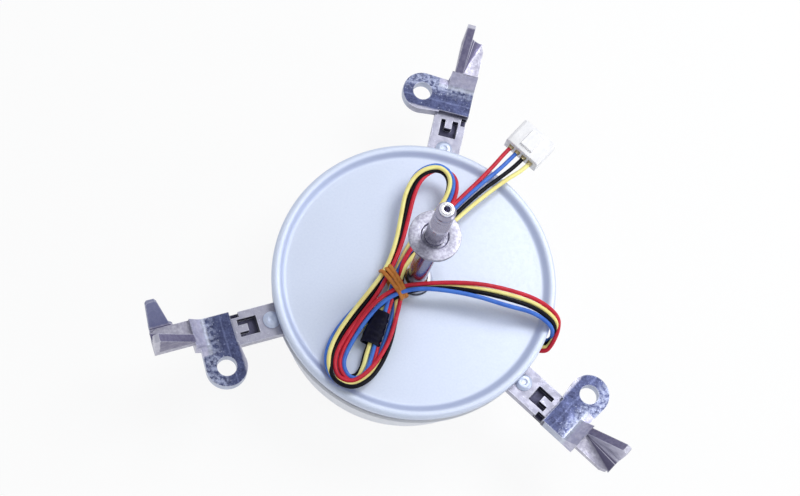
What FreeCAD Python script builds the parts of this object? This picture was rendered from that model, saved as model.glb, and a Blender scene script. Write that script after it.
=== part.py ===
import FreeCAD, Part
import math
import os

import Sketcher

# Fan motor of a hot-air oven, with its wiring.
# Frame: origin on the shaft axis in the plane of the three lug faces,
# +Z along the shaft towards its threaded end, +Y along the first leg.
# Millimetres throughout.

os.makedirs("parts", exist_ok=True)
doc = FreeCAD.newDocument("fan_motor")

SIZES = {
    # front cover
    "cover_outer_radius": 42.8,
    "cover_crest_radius": 40.75,
    "cover_wall_radius": 39.1,
    "cover_face_level": 1.4,
    "cover_rim_level": 2.3,
    "cover_skirt_level": 0.0,
    "cover_sheet": 1.0,
    "cover_hole_radius": 5.0,
    # cast bracket with three legs
    "plate_radius": 41.6,
    "seat_ring_radius": 38.4,
    "plate_top": -1.7,
    "plate_thickness": 3.0,
    "arm_half_width": 5.0,
    "arm_end": 56.4,
    "hub_nose_radius": 4.7,
    "hub_nose_top": 3.9,
    "hub_lip_radius": 3.5,
    "hub_root_radius": 7.6,
    "hub_bottom": -9.2,
    "window_radius": 6.5,
    "window_centre": 22.0,
    "pocket_side": 2.7,
    "pocket_start": 48.6,
    "pocket_finish": 54.4,
    "tongue_length": 2.8,
    "block_start": 56.2,
    "block_finish": 68.4,
    "block_side_far": 5.2,
    "block_side_near": 5.7,
    "ramp_start": 64.2,
    "ramp_rise": 3.85,
    "lug_side": 10.5,
    "lug_circle_radius": 62.0,
    "lug_radius": 6.1,
    "lug_thickness": 3.4,
    "lug_hole_radius": 2.9,
    "end_plate_finish": 80.3,
    "end_plate_top": 2.6,
    "end_plate_thickness": 2.2,
    "end_plate_side": 5.1,
    "fin_side_near": 2.1,
    "fin_side_far": 0.3,
    "fin_foot_level": 4.3,
    "fin_tip_start": 79.0,
    "fin_tip_level": 14.1,
    "fillet_radius": 4.2,
    "wing_reach": 11.6,
    "wing_rise": 5.6,
    "wing_start": 74.0,
    "wing_tip_start": 76.2,
    # rivets
    "rivet_centre": 44.4,
    "rivet_head_radius": 2.6,
    "rivet_shank_radius": 1.5,
    # rear housing
    "can_radius": 38.0,
    "can_sheet": 1.2,
    "can_bottom": -29.0,
    "can_flange_radius": 42.3,
    "can_pocket_radius": 4.0,
    "can_pocket_top": -22.5,
    # shaft and bearings
    "shaft_radius": 3.0,
    "shaft_bottom": -27.2,
    "groove_radius": 2.7,
    "groove_start": 39.9,
    "seat_start": 40.7,
    "thread_radius": 2.8,
    "thread_start": 50.2,
    "thread_finish": 56.9,
    "undercut_radius": 2.45,
    "undercut_level": 57.4,
    "tip_radius": 2.1,
    "shaft_top": 62.0,
    "centre_drill_radius": 0.85,
    "bearing_bore_radius": 3.03,
    "bearing_radius": 4.0,
    "front_bearing_bottom": -9.0,
    "front_bearing_top": 2.6,
    "rear_bearing_bottom": -27.6,
    "rear_bearing_top": -22.7,
    # drive flange
    "flange_radius": 7.5,
    "flange_top": 40.6,
    "flange_thickness": 1.3,
    "flange_hub_radius": 4.6,
    "flange_hub_length": 1.2,
    "flange_recess_radius": 4.0,
    "flange_recess_depth": 0.9,
    # rotor and stator
    "stack_bottom": -21.5,
    "stack_top": -12.5,
    "rotor_core_radius": 14.6,
    "magnet_radius": 18.3,
    "stator_bore_radius": 19.0,
    "tooth_tip_radius": 21.2,
    "yoke_radius": 31.4,
    "stator_radius": 36.6,
    "tooth_half_width": 3.5,
    "spacer_radius": 5.2,
    "spacer_top": -10.3,
    # circuit board
    "board_top": -5.6,
    "board_thickness": 1.6,
    "board_radius": 35.4,
    "board_bore_radius": 10.5,
    # wiring
    "wire_radius": 0.65,
    "connector_pitch": 2.5,
    "connector_length": 9.0,
    "connector_width": 12.4,
    "connector_height": 5.6,
}

sheet = doc.addObject("Spreadsheet::Sheet", "sizes")
for row, (alias, size) in enumerate(SIZES.items(), start=1):
    sheet.set("A%d" % row, alias)
    sheet.set("B%d" % row, str(size))
    sheet.setAlias("B%d" % row, alias)
doc.recompute()


class Dim:
    """A size with the formula that ties it to the sheet."""

    def __init__(self, value, text):
        self.value = float(value)
        self.text = text

    def _pair(self, other, sign, value, swap=False):
        text = other.text if isinstance(other, Dim) else repr(float(other))
        first, second = (text, self.text) if swap else (self.text, text)
        return Dim(value, "(%s %s %s)" % (first, sign, second))

    def __add__(self, other):
        return self._pair(other, "+", self.value + plain(other))

    def __radd__(self, other):
        return self._pair(other, "+", plain(other) + self.value, True)

    def __sub__(self, other):
        return self._pair(other, "-", self.value - plain(other))

    def __rsub__(self, other):
        return self._pair(other, "-", plain(other) - self.value, True)

    def __mul__(self, other):
        return self._pair(other, "*", self.value * plain(other))

    def __rmul__(self, other):
        return self._pair(other, "*", plain(other) * self.value, True)

    def __truediv__(self, other):
        return self._pair(other, "/", self.value / plain(other))

    def __neg__(self):
        return Dim(-self.value, "(0 - %s)" % self.text)


def plain(size):
    return size.value if isinstance(size, Dim) else float(size)


def d(alias):
    return Dim(SIZES[alias], "sizes." + alias)


# distance of the lug holes along the leg, from the hole circle and the side step
LUG_ALONG = Dim(
    math.sqrt(SIZES["lug_circle_radius"] ** 2 - SIZES["lug_side"] ** 2),
    "sqrt(sizes.lug_circle_radius ^ 2 - sizes.lug_side ^ 2)",
)


def bind(thing, name, size):
    """Sets a property and ties it to the sheet."""
    if isinstance(size, Dim):
        setattr(thing, name, size.value)
        thing.setExpression(name, size.text)
    else:
        setattr(thing, name, size)


def new_body(name):
    body = doc.addObject("PartDesign::Body", name)
    body.Label = name
    body.AllowCompound = True
    return body


def new_sketch(body, plane, name, level=0.0):
    """A sketch on one of the body's own origin planes, moved off it by level."""
    sketch = body.newObject("Sketcher::SketchObject", name)
    for feature in body.Origin.OriginFeatures:
        if feature.Role == plane:
            sketch.AttachmentSupport = [(feature, "")]
    sketch.MapMode = "FlatFace"
    if isinstance(level, Dim) or level:
        sketch.AttachmentOffset = FreeCAD.Placement(
            FreeCAD.Vector(0, 0, plain(level)), FreeCAD.Rotation())
        if isinstance(level, Dim):
            sketch.setExpression("AttachmentOffset.Base.z", level.text)
    return sketch


def pin_point(sketch, item, end, x, y):
    """Holds one point of a sketch at x, y."""
    for kind, size, axis in (("DistanceX", x, -2), ("DistanceY", y, -1)):
        value = plain(size)
        if abs(value) < 1e-9 and not isinstance(size, Dim):
            sketch.addConstraint(
                Sketcher.Constraint("PointOnObject", item, end, axis))
            continue
        if value >= 0:
            at = sketch.addConstraint(
                Sketcher.Constraint(kind, -1, 1, item, end, value))
            text = size.text if isinstance(size, Dim) else None
        else:
            at = sketch.addConstraint(
                Sketcher.Constraint(kind, item, end, -1, 1, -value))
            text = (-size).text if isinstance(size, Dim) else None
        if text:
            sketch.setExpression("Constraints[%d]" % at, text)


def outline(sketch, points):
    """A closed outline of straight edges through the points."""
    start = sketch.GeometryCount
    count = len(points)
    spots = [FreeCAD.Vector(plain(x), plain(y), 0) for x, y in points]
    for i in range(count):
        sketch.addGeometry(Part.LineSegment(spots[i], spots[(i + 1) % count]))
    for i in range(count):
        sketch.addConstraint(Sketcher.Constraint(
            "Coincident", start + i, 2, start + (i + 1) % count, 1))
    for i, (x, y) in enumerate(points):
        pin_point(sketch, start + i, 1, x, y)


def ring(sketch, x, y, radius):
    """A circle with its centre at x, y."""
    item = sketch.addGeometry(Part.Circle(
        FreeCAD.Vector(plain(x), plain(y), 0), FreeCAD.Vector(0, 0, 1),
        plain(radius)))
    pin_point(sketch, item, 3, x, y)
    at = sketch.addConstraint(Sketcher.Constraint("Radius", item, plain(radius)))
    if isinstance(radius, Dim):
        sketch.setExpression("Constraints[%d]" % at, radius.text)


def pad(body, sketch, length, name, down=False, middle=False):
    feature = body.newObject("PartDesign::Pad", name)
    feature.Profile = sketch
    bind(feature, "Length", length)
    feature.Reversed = down
    feature.Midplane = middle
    doc.recompute()
    return feature


def pocket(body, sketch, length, name, up=False, middle=False):
    """Cuts away from the sketch; the volume has to go down."""
    before = body.Shape.Volume
    feature = body.newObject("PartDesign::Pocket", name)
    feature.Profile = sketch
    bind(feature, "Length", length)
    feature.Reversed = up
    feature.Midplane = middle
    doc.recompute()
    if body.Shape.Volume >= before - 1e-6:
        raise RuntimeError(name + " cuts nothing")
    return feature


def turned(body, sketch, name):
    """A full turn about the upright axis of the sketch."""
    feature = body.newObject("PartDesign::Revolution", name)
    feature.Profile = sketch
    feature.ReferenceAxis = (sketch, ["V_Axis"])
    feature.Angle = 360.0
    doc.recompute()
    return feature


def z_axis(body):
    for feature in body.Origin.OriginFeatures:
        if feature.Role == "Z_Axis":
            return feature
    return None


def spread(body, originals, count, name):
    """Repeats features evenly round the shaft axis."""
    feature = body.newObject("PartDesign::PolarPattern", name)
    feature.Originals = originals
    feature.Axis = (z_axis(body), [""])
    feature.Angle = 360.0
    feature.Occurrences = count
    body.Tip = feature
    doc.recompute()
    return feature


def edges_where(shape, rule):
    """Names of the edges whose middle point passes the rule."""
    names = []
    for i, edge in enumerate(shape.Edges, start=1):
        middle = edge.valueAt((edge.FirstParameter + edge.LastParameter) / 2)
        if rule(edge, middle):
            names.append("Edge%d" % i)
    return names


def rounded(body, rule, radius, name, chamfer=False):
    """Fillet or chamfer on the edges that pass the rule."""
    base = body.Tip
    names = edges_where(base.Shape, rule)
    if not names:
        raise RuntimeError(name + " finds no edge")
    kind = "PartDesign::Chamfer" if chamfer else "PartDesign::Fillet"
    feature = body.newObject(kind, name)
    feature.Base = (base, names)
    bind(feature, "Size" if chamfer else "Radius", radius)
    doc.recompute()
    return feature


def circle_at(radius, level):
    """Rule for a full circle round the shaft axis."""
    def rule(edge, middle):
        return (abs(middle.z - level) < 1e-3
                and abs(math.hypot(middle.x, middle.y) - radius) < 1e-3
                and edge.Curve.TypeId == "Part::GeomCircle")
    return rule


def turned_piece(name, points):
    """A piece made by one full turn of an outline in radius and level."""
    body = new_body(name)
    sketch = new_sketch(body, "XZ_Plane", name + "_profile")
    outline(sketch, points)
    turned(body, sketch, name + "_turn")
    return body


def washer(name, inner, outer, low, high):
    return turned_piece(name, [
        (inner, low), (outer, low), (outer, high), (inner, high)])


# Cast bracket: plate with a seat ring for the cover, bearing hub, three legs.
bracket = new_body("cast_bracket")
plate_low = d("plate_top") - d("plate_thickness")
profile = new_sketch(bracket, "XZ_Plane", "bracket_profile")
outline(profile, [
    (d("bearing_radius"), d("hub_bottom")),
    (d("hub_root_radius"), d("hub_bottom")),
    (d("hub_root_radius") + 1.2, plate_low),
    (d("plate_radius"), plate_low),
    (d("plate_radius"), d("cover_face_level") - d("cover_sheet")),
    (d("seat_ring_radius"), d("cover_face_level") - d("cover_sheet")),
    (d("seat_ring_radius"), d("plate_top")),
    (d("hub_nose_radius") + 1.4, d("plate_top")),
    (d("hub_nose_radius"), d("plate_top") + 1.2),
    (d("hub_nose_radius"), d("hub_nose_top") - 0.5),
    (d("hub_nose_radius") - 0.5, d("hub_nose_top")),
    (d("hub_lip_radius"), d("hub_nose_top")),
    (d("hub_lip_radius"), d("front_bearing_top")),
    (d("bearing_radius"), d("front_bearing_top")),
])
turned(bracket, profile, "bracket_turn")

arm_sketch = new_sketch(bracket, "XY_Plane", "arm_outline", d("plate_top"))
outline(arm_sketch, [
    (-d("arm_half_width"), 36.0),
    (d("arm_half_width"), 36.0),
    (d("arm_half_width"), d("arm_end")),
    (-d("arm_half_width"), d("arm_end")),
])
arm = pad(bracket, arm_sketch, d("plate_thickness"), "arm", down=True)

block_sketch = new_sketch(bracket, "XY_Plane", "block_outline")
outline(block_sketch, [
    (-d("block_side_near"), d("block_start")),
    (d("block_side_far"), d("block_start")),
    (d("block_side_far"), d("block_finish")),
    (-3.0, d("block_finish")),
    (-3.4, LUG_ALONG + d("lug_radius") - 0.4),
    (-d("block_side_near"), LUG_ALONG + d("lug_radius") - 1.4),
])
block = pad(bracket, block_sketch, 4.7, "block", down=True)

lug_sketch = new_sketch(bracket, "XY_Plane", "lug_outline")
ring(lug_sketch, -d("lug_side"), LUG_ALONG, d("lug_radius"))
lug_end = pad(bracket, lug_sketch, d("lug_thickness"), "lug_end", down=True)

neck_sketch = new_sketch(bracket, "XY_Plane", "lug_neck_outline")
outline(neck_sketch, [
    (-d("lug_side"), LUG_ALONG - d("lug_radius")),
    (-d("block_side_near") + 1.5, LUG_ALONG - d("lug_radius") + 0.7),
    (-3.4, LUG_ALONG + d("lug_radius") - 0.4),
    (-d("lug_side"), LUG_ALONG + d("lug_radius")),
])
neck = pad(bracket, neck_sketch, d("lug_thickness"), "lug_neck", down=True)

# side view of the leg: x of the sketch runs along the leg, y is the level
ramp_sketch = new_sketch(bracket, "YZ_Plane", "ramp_outline", 1.1)
outline(ramp_sketch, [
    (d("ramp_start"), -1.0),
    (d("ramp_start"), 0.0),
    (d("ramp_start") + 1.5, 0.9),
    (d("block_finish"), d("ramp_rise")),
    (d("block_finish"), -1.0),
])
ramp = pad(bracket, ramp_sketch, 8.2, "ramp", middle=True)

end_sketch = new_sketch(bracket, "XY_Plane", "end_plate_outline", d("end_plate_top"))
outline(end_sketch, [
    (-d("fin_side_near"), d("block_finish") - 1.0),
    (d("end_plate_side"), d("block_finish") - 1.0),
    (d("end_plate_side"), d("end_plate_finish") - 2.6),
    (d("end_plate_side") - 0.8, d("end_plate_finish") - 0.8),
    (d("end_plate_side") - 2.6, d("end_plate_finish")),
    (-d("fin_side_near"), d("end_plate_finish")),
])
end_plate = pad(bracket, end_sketch, d("end_plate_thickness"), "end_plate", down=True)

fin_sketch = new_sketch(
    bracket, "YZ_Plane", "fin_outline", (d("fin_side_far") - d("fin_side_near")) / 2)
fin_root = d("end_plate_top") - d("end_plate_thickness")
outline(fin_sketch, [
    (d("block_finish") - 0.6, fin_root),
    (d("block_finish") - 0.6, d("fin_foot_level") - 0.9),
    (d("fin_tip_start"), d("fin_tip_level")),
    (d("end_plate_finish"), d("fin_tip_level") - 0.4),
    (d("end_plate_finish") + 0.3, d("fin_tip_level") - 1.4),
    (d("end_plate_finish"), fin_root),
])
fin = pad(bracket, fin_sketch, d("fin_side_near") + d("fin_side_far"), "fin",
          middle=True)

# flared fillet between the end plate and the fin: nothing at the block,
# a full hollow quarter at the free end
near_sketch = new_sketch(bracket, "XZ_Plane", "flare_small", -(d("block_finish") + 0.2))
far_sketch = new_sketch(bracket, "XZ_Plane", "flare_large", -d("end_plate_finish"))
for flare_sketch, scale in ((near_sketch, 0.08), (far_sketch, 1.0)):
    reach = d("fillet_radius") * scale
    corner_x = d("fin_side_far") - 0.2
    corner_z = d("end_plate_top") - 0.2
    bow = [(corner_x, corner_z), (corner_x + 0.2 + reach, corner_z)]
    for step in range(0, 6):
        angle = math.radians(18 * step)
        bow.append((corner_x + 0.2 + reach - reach * math.sin(angle),
                    corner_z + 0.2 + reach - reach * math.cos(angle)))
    bow.append((corner_x, corner_z + 0.2 + reach))
    outline(flare_sketch, bow)
flare = bracket.newObject("PartDesign::AdditiveLoft", "flare")
flare.Profile = near_sketch
flare.Sections = [far_sketch]
flare.Ruled = True
doc.recompute()

# pocket of the arm with a thin floor, and the hollow under the block
slot_sketch = new_sketch(bracket, "XY_Plane", "arm_pocket_outline", 1.0)
outline(slot_sketch, [
    (-d("pocket_side"), d("pocket_start")),
    (d("pocket_side"), d("pocket_start")),
    (d("pocket_side"), d("pocket_finish")),
    (0.9, d("pocket_finish")),
    (0.9, d("pocket_finish") - d("tongue_length")),
    (-1.3, d("pocket_finish") - d("tongue_length")),
    (-1.3, d("pocket_finish")),
    (-d("pocket_side"), d("pocket_finish")),
])
slot = pocket(bracket, slot_sketch, 4.9, "arm_pocket")

notch_sketch = new_sketch(bracket, "XY_Plane", "corner_pocket_outline", 1.0)
outline(notch_sketch, [
    (3.4, d("pocket_finish") - 1.0),
    (6.0, d("pocket_finish") - 1.0),
    (6.0, d("block_start") - 0.2),
    (3.4, d("block_start") - 0.2),
])
notch = pocket(bracket, notch_sketch, 4.6, "corner_pocket")

under_sketch = new_sketch(bracket, "XY_Plane", "block_hollow_outline", -5.5)
outline(under_sketch, [
    (-3.4, d("block_start") + 1.6),
    (3.4, d("block_start") + 1.6),
    (3.4, d("block_finish") - 2.2),
    (-1.4, d("block_finish") - 2.2),
    (-3.4, d("block_finish") - 4.4),
])
hollow = pocket(bracket, under_sketch, 3.6, "block_hollow", up=True)

hole_sketch = new_sketch(bracket, "XY_Plane", "lug_hole_outline", 1.0)
ring(hole_sketch, -d("lug_side"), LUG_ALONG, d("lug_hole_radius"))
lug_hole = pocket(bracket, hole_sketch, 6.0, "lug_hole")

stud_sketch = new_sketch(bracket, "XY_Plane", "rivet_hole_outline", 1.0)
ring(stud_sketch, 0.0, d("rivet_centre"), d("rivet_shank_radius") + 0.05)
stud_hole = pocket(bracket, stud_sketch, 8.0, "rivet_hole")

window_sketch = new_sketch(bracket, "XY_Plane", "window_outline", 1.0)
ring(window_sketch, 0.0, -d("window_centre"), d("window_radius"))
window = pocket(bracket, window_sketch, 8.0, "window")

spread(bracket, [arm, block, lug_end, neck, ramp, end_plate, fin, flare, slot,
                 notch, hollow, lug_hole, stud_hole, window], 3, "legs")

# side wing of the second leg, 120 degrees on from the first, bent up from
# the far edge of its end plate
wing_turn = math.radians(120.0)
along_leg = FreeCAD.Vector(-math.sin(wing_turn), math.cos(wing_turn), 0)
across_leg = FreeCAD.Vector(math.cos(wing_turn), math.sin(wing_turn), 0)
wing_run = SIZES["wing_reach"] - SIZES["end_plate_side"]
wing_slope = math.hypot(wing_run, SIZES["wing_rise"])
up_wing = (across_leg * wing_run
           + FreeCAD.Vector(0, 0, SIZES["wing_rise"])) * (1 / wing_slope)
wing_sketch = new_sketch(bracket, "XY_Plane", "wing_outline")
wing_sketch.AttachmentOffset = FreeCAD.Placement(
    across_leg * SIZES["end_plate_side"] + FreeCAD.Vector(0, 0, SIZES["end_plate_top"]),
    FreeCAD.Rotation(along_leg, up_wing, along_leg.cross(up_wing), "XYZ"))
outline(wing_sketch, [
    (d("wing_start") - 1.0, -1.6),
    (d("end_plate_finish") - 0.3, -1.6),
    (d("end_plate_finish") - 0.3, 0.0),
    (d("end_plate_finish") - 0.7, wing_slope - 0.6),
    (d("end_plate_finish") - 1.3, wing_slope),
    (d("wing_tip_start") + 0.6, wing_slope),
    (d("wing_tip_start"), wing_slope - 0.7),
    (d("wing_start"), 0.6),
    (d("wing_start") - 1.0, 0.0),
])
wing_down = along_leg.cross(up_wing).z > 0
pad(bracket, wing_sketch, 2.0, "wing", down=wing_down)

# slot for the wires through the plate
EXIT_ANGLE = -12.6
exit_sketch = new_sketch(bracket, "XY_Plane", "wire_slot_outline", 1.0)
exit_turn = math.radians(EXIT_ANGLE)
slot_corners = []
for along, side in ((32.0, -3.6), (43.0, -3.6), (43.0, 3.6), (32.0, 3.6)):
    slot_corners.append((along * math.cos(exit_turn) - side * math.sin(exit_turn),
                         along * math.sin(exit_turn) + side * math.cos(exit_turn)))
outline(exit_sketch, slot_corners)
pocket(bracket, exit_sketch, 8.0, "wire_slot")

# Front cover: pressed dish with a raised rim and a short skirt.
cover = turned_piece("front_cover", [
    (d("cover_hole_radius"), d("cover_face_level") - d("cover_sheet")),
    (d("cover_wall_radius") + 0.4, d("cover_face_level") - d("cover_sheet")),
    (d("cover_crest_radius") + 0.1, d("cover_rim_level") - 1.2),
    (d("cover_outer_radius") - d("cover_sheet"), d("cover_rim_level") - 1.2),
    (d("cover_outer_radius") - d("cover_sheet"), d("cover_skirt_level")),
    (d("cover_outer_radius"), d("cover_skirt_level")),
    (d("cover_outer_radius"), d("cover_rim_level")),
    (d("cover_crest_radius"), d("cover_rim_level")),
    (d("cover_wall_radius"), d("cover_face_level")),
    (d("cover_hole_radius"), d("cover_face_level")),
])
rounded(cover, circle_at(SIZES["cover_wall_radius"], SIZES["cover_face_level"]),
        1.0, "cover_foot_round")
rounded(cover, circle_at(SIZES["cover_outer_radius"], SIZES["cover_rim_level"]),
        1.1, "cover_rim_round")
rounded(cover, circle_at(SIZES["cover_crest_radius"], SIZES["cover_rim_level"]),
        0.5, "cover_crest_round")

# Rear housing: drawn can with a flange, three ears and a bearing seat.
flange_low = plate_low - d("can_sheet")
can = turned_piece("rear_housing", [
    (0.0, d("can_bottom")),
    (d("can_radius") - 2.0, d("can_bottom")),
    (d("can_radius"), d("can_bottom") + 2.0),
    (d("can_radius"), flange_low),
    (d("can_flange_radius"), flange_low),
    (d("can_flange_radius"), plate_low),
    (d("can_radius") - d("can_sheet"), plate_low),
    (d("can_radius") - d("can_sheet"), d("can_bottom") + 2.2),
    (d("can_radius") - d("can_sheet") - 1.2, d("can_bottom") + d("can_sheet")),
    (d("can_pocket_radius") + 1.2, d("can_bottom") + d("can_sheet")),
    (d("can_pocket_radius") + 1.2, d("can_pocket_top")),
    (d("can_pocket_radius"), d("can_pocket_top")),
    (d("can_pocket_radius"), d("can_bottom") + d("can_sheet")),
    (0.0, d("can_bottom") + d("can_sheet")),
])
ear_sketch = new_sketch(can, "XY_Plane", "ear_outline", plate_low)
outline(ear_sketch, [
    (-4.4, 40.0), (4.4, 40.0), (4.4, 46.2), (3.0, 48.2), (-3.0, 48.2), (-4.4, 46.2)])
ear = pad(can, ear_sketch, d("can_sheet"), "ear", down=True)
ear_hole_sketch = new_sketch(can, "XY_Plane", "ear_hole_outline", plate_low + 1.0)
ring(ear_hole_sketch, 0.0, d("rivet_centre"), d("rivet_shank_radius") + 0.05)
ear_hole = pocket(can, ear_hole_sketch, 4.0, "ear_hole")
spread(can, [ear, ear_hole], 3, "ears")

# Rivets through arm and ear.
rivets = new_body("rivets")
rivet_steps = (
    ("head", d("plate_top") + 0.8, 0.8, d("rivet_head_radius")),
    ("shank", d("plate_top"), d("plate_thickness") + d("can_sheet"),
     d("rivet_shank_radius")),
    ("tail", flange_low, 0.8, d("rivet_head_radius") - 0.2),
)
rivet_pads = []
for part_name, level, length, radius in rivet_steps:
    rivet_sketch = new_sketch(rivets, "XY_Plane", "rivet_" + part_name, level)
    ring(rivet_sketch, 0.0, d("rivet_centre"), radius)
    rivet_pads.append(pad(rivets, rivet_sketch, length, part_name, down=True))
spread(rivets, rivet_pads, 3, "rivet_set")

# Bearings: plain bushings, the front one in the hub, the rear one in the can.
for name, low, high in (
        ("front_bearing", d("front_bearing_bottom"), d("front_bearing_top")),
        ("rear_bearing", d("rear_bearing_bottom"), d("rear_bearing_top"))):
    washer(name, d("bearing_bore_radius"), d("bearing_radius") - 0.02, low, high)

# Shaft with a relief groove, a wheel seat, a threaded end, a pilot tip and a centre hole.
turned_piece("shaft", [
    (0.0, d("shaft_bottom")),
    (d("shaft_radius") - 0.5, d("shaft_bottom")),
    (d("shaft_radius"), d("shaft_bottom") + 0.5),
    (d("shaft_radius"), d("groove_start") - 0.2),
    (d("groove_radius"), d("groove_start")),
    (d("groove_radius"), d("seat_start") - 0.2),
    (d("shaft_radius"), d("seat_start")),
    (d("shaft_radius"), d("thread_start") - 0.3),
    (d("thread_radius"), d("thread_start")),
    (d("thread_radius"), d("thread_finish")),
    (d("undercut_radius"), d("undercut_level")),
    (d("undercut_radius"), d("undercut_level") + 0.6),
    (d("thread_radius"), d("undercut_level") + 1.1),
    (d("thread_radius"), d("shaft_top") - 2.4),
    (d("tip_radius"), d("shaft_top") - 1.8),
    (d("tip_radius"), d("shaft_top") - 0.2),
    (d("tip_radius") - 0.2, d("shaft_top")),
    (d("centre_drill_radius"), d("shaft_top")),
    (d("centre_drill_radius"), d("shaft_top") - 3.0),
    (0.0, d("shaft_top") - 3.6),
])

# Drive flange that the wheel is clamped against.
turned_piece("drive_flange", [
    (d("shaft_radius") + 0.01, d("flange_top") - d("flange_thickness")
     - d("flange_hub_length")),
    (d("flange_hub_radius"), d("flange_top") - d("flange_thickness")
     - d("flange_hub_length")),
    (d("flange_hub_radius"), d("flange_top") - d("flange_thickness")),
    (d("flange_radius") - 0.2, d("flange_top") - d("flange_thickness")),
    (d("flange_radius"), d("flange_top") - d("flange_thickness") + 0.2),
    (d("flange_radius"), d("flange_top") - 0.2),
    (d("flange_radius") - 0.2, d("flange_top")),
    (d("flange_recess_radius"), d("flange_top")),
    (d("flange_recess_radius"), d("flange_top") - d("flange_recess_depth")),
    (d("shaft_radius") + 0.01, d("flange_top") - d("flange_recess_depth")),
])

# Rotor: laminated core, eight magnets, spacer and thrust washers.
washer("rotor_core", d("shaft_radius") + 0.01, d("rotor_core_radius"),
       d("stack_bottom"), d("stack_top"))
washer("rotor_spacer", d("shaft_radius") + 0.01, d("spacer_radius"),
       d("stack_top"), d("spacer_top"))
washer("front_thrust_washer", d("shaft_radius") + 0.01, d("spacer_radius") - 0.2,
       d("spacer_top"), d("spacer_top") + 0.7)
washer("rear_thrust_washer", d("shaft_radius") + 0.01, d("spacer_radius") - 0.2,
       d("stack_bottom") - 0.7, d("stack_bottom"))
magnets = new_body("rotor_magnets")
magnet_sketch = new_sketch(magnets, "XY_Plane", "magnet_ring", d("stack_bottom"))
ring(magnet_sketch, 0.0, 0.0, d("magnet_radius"))
ring(magnet_sketch, 0.0, 0.0, d("rotor_core_radius") + 0.01)
pad(magnets, magnet_sketch, d("stack_top") - d("stack_bottom"), "magnet_ring_pad")
split_sketch = new_sketch(magnets, "XY_Plane", "magnet_split", d("stack_bottom"))
outline(split_sketch, [(-0.5, 12.0), (0.5, 12.0), (0.5, 20.0), (-0.5, 20.0)])
split = pocket(magnets, split_sketch, 9.0, "magnet_gap", up=True)
spread(magnets, [split], 8, "magnet_gaps")


def toothed(name, low, high, half_width, outer, inner_yoke, inner_bore, tip):
    """Ring with six inward teeth whose tips form a second, split ring."""
    body = new_body(name)
    rings = new_sketch(body, "XY_Plane", name + "_yoke", low)
    ring(rings, 0.0, 0.0, outer)
    ring(rings, 0.0, 0.0, inner_yoke)
    pad(body, rings, high - low, name + "_yoke_pad")
    tooth_sketch = new_sketch(body, "XY_Plane", name + "_tooth", low)
    outline(tooth_sketch, [
        (-half_width, inner_bore + 0.9), (half_width, inner_bore + 0.9),
        (half_width, inner_yoke + 0.8), (-half_width, inner_yoke + 0.8)])
    tooth = pad(body, tooth_sketch, high - low, name + "_tooth_pad")
    spread(body, [tooth], 6, name + "_teeth")
    tips = new_sketch(body, "XY_Plane", name + "_tips", low)
    ring(tips, 0.0, 0.0, tip)
    ring(tips, 0.0, 0.0, inner_bore)
    pad(body, tips, high - low, name + "_tips_pad")
    gap = new_sketch(body, "XY_Plane", name + "_gap", low)
    step = math.radians(30.0)
    corners = []
    for along, side in ((17.0, -1.7), (23.5, -1.7), (23.5, 1.7), (17.0, 1.7)):
        corners.append((along * math.cos(step) - side * math.sin(step),
                        along * math.sin(step) + side * math.cos(step)))
    outline(gap, corners)
    cut = pocket(body, gap, high - low, name + "_gap_cut", up=True)
    spread(body, [cut], 6, name + "_gaps")
    return body


toothed("stator_core", d("stack_bottom"), d("stack_top"), d("tooth_half_width"),
        d("stator_radius"), d("yoke_radius"), d("stator_bore_radius"),
        d("tooth_tip_radius"))
for name, low, high in (
        ("upper_insulator", d("stack_top"), d("stack_top") + 0.8),
        ("lower_insulator", d("stack_bottom") - 0.8, d("stack_bottom"))):
    toothed(name, low, high, d("tooth_half_width") + 0.3, d("stator_radius") - 1.6,
            d("yoke_radius") + 0.4, d("stator_bore_radius") + 0.4,
            d("tooth_tip_radius") + 0.2)

# Windings: one coil round each tooth.
coils = new_body("windings")
coil_sketch = new_sketch(coils, "XZ_Plane", "coil_outline", -22.4)
coil_half = d("tooth_half_width") + 4.2
coil_low = d("stack_bottom") - 3.2
coil_high = d("stack_top") + 3.2
outline(coil_sketch, [
    (-coil_half, coil_low + 2.0), (-coil_half + 2.0, coil_low),
    (coil_half - 2.0, coil_low), (coil_half, coil_low + 2.0),
    (coil_half, coil_high - 2.0), (coil_half - 2.0, coil_high),
    (-coil_half + 2.0, coil_high), (-coil_half, coil_high - 2.0)])
bore_half = d("tooth_half_width") + 0.35
outline(coil_sketch, [
    (-bore_half, d("stack_bottom") - 0.85), (bore_half, d("stack_bottom") - 0.85),
    (bore_half, d("stack_top") + 0.85), (-bore_half, d("stack_top") + 0.85)])
coil = pad(coils, coil_sketch, 7.6, "coil", down=True)
spread(coils, [coil], 6, "coil_set")

# Circuit board under the bracket plate, with what it carries.
board_low = d("board_top") - d("board_thickness")
board = new_body("circuit_board")
board_sketch = new_sketch(board, "XY_Plane", "board_outline", d("board_top"))
ring(board_sketch, 0.0, 0.0, d("board_radius"))
ring(board_sketch, 0.0, 0.0, d("board_bore_radius"))
pad(board, board_sketch, d("board_thickness"), "board_pad", down=True)
screw_hole_sketch = new_sketch(board, "XY_Plane", "screw_hole", d("board_top") + 1.0)
ring(screw_hole_sketch, 0.0, 32.0, 1.2)
screw_hole = pocket(board, screw_hole_sketch, 4.0, "screw_hole_cut")
spread(board, [screw_hole], 3, "screw_holes")

spacers = new_body("board_spacers")
spacer_sketch = new_sketch(spacers, "XY_Plane", "spacer_outline", plate_low)
ring(spacer_sketch, 0.0, 32.0, 2.4)
ring(spacer_sketch, 0.0, 32.0, 1.2)
spacer = pad(spacers, spacer_sketch, plate_low - d("board_top"), "spacer", down=True)
spread(spacers, [spacer], 3, "spacer_set")

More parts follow.
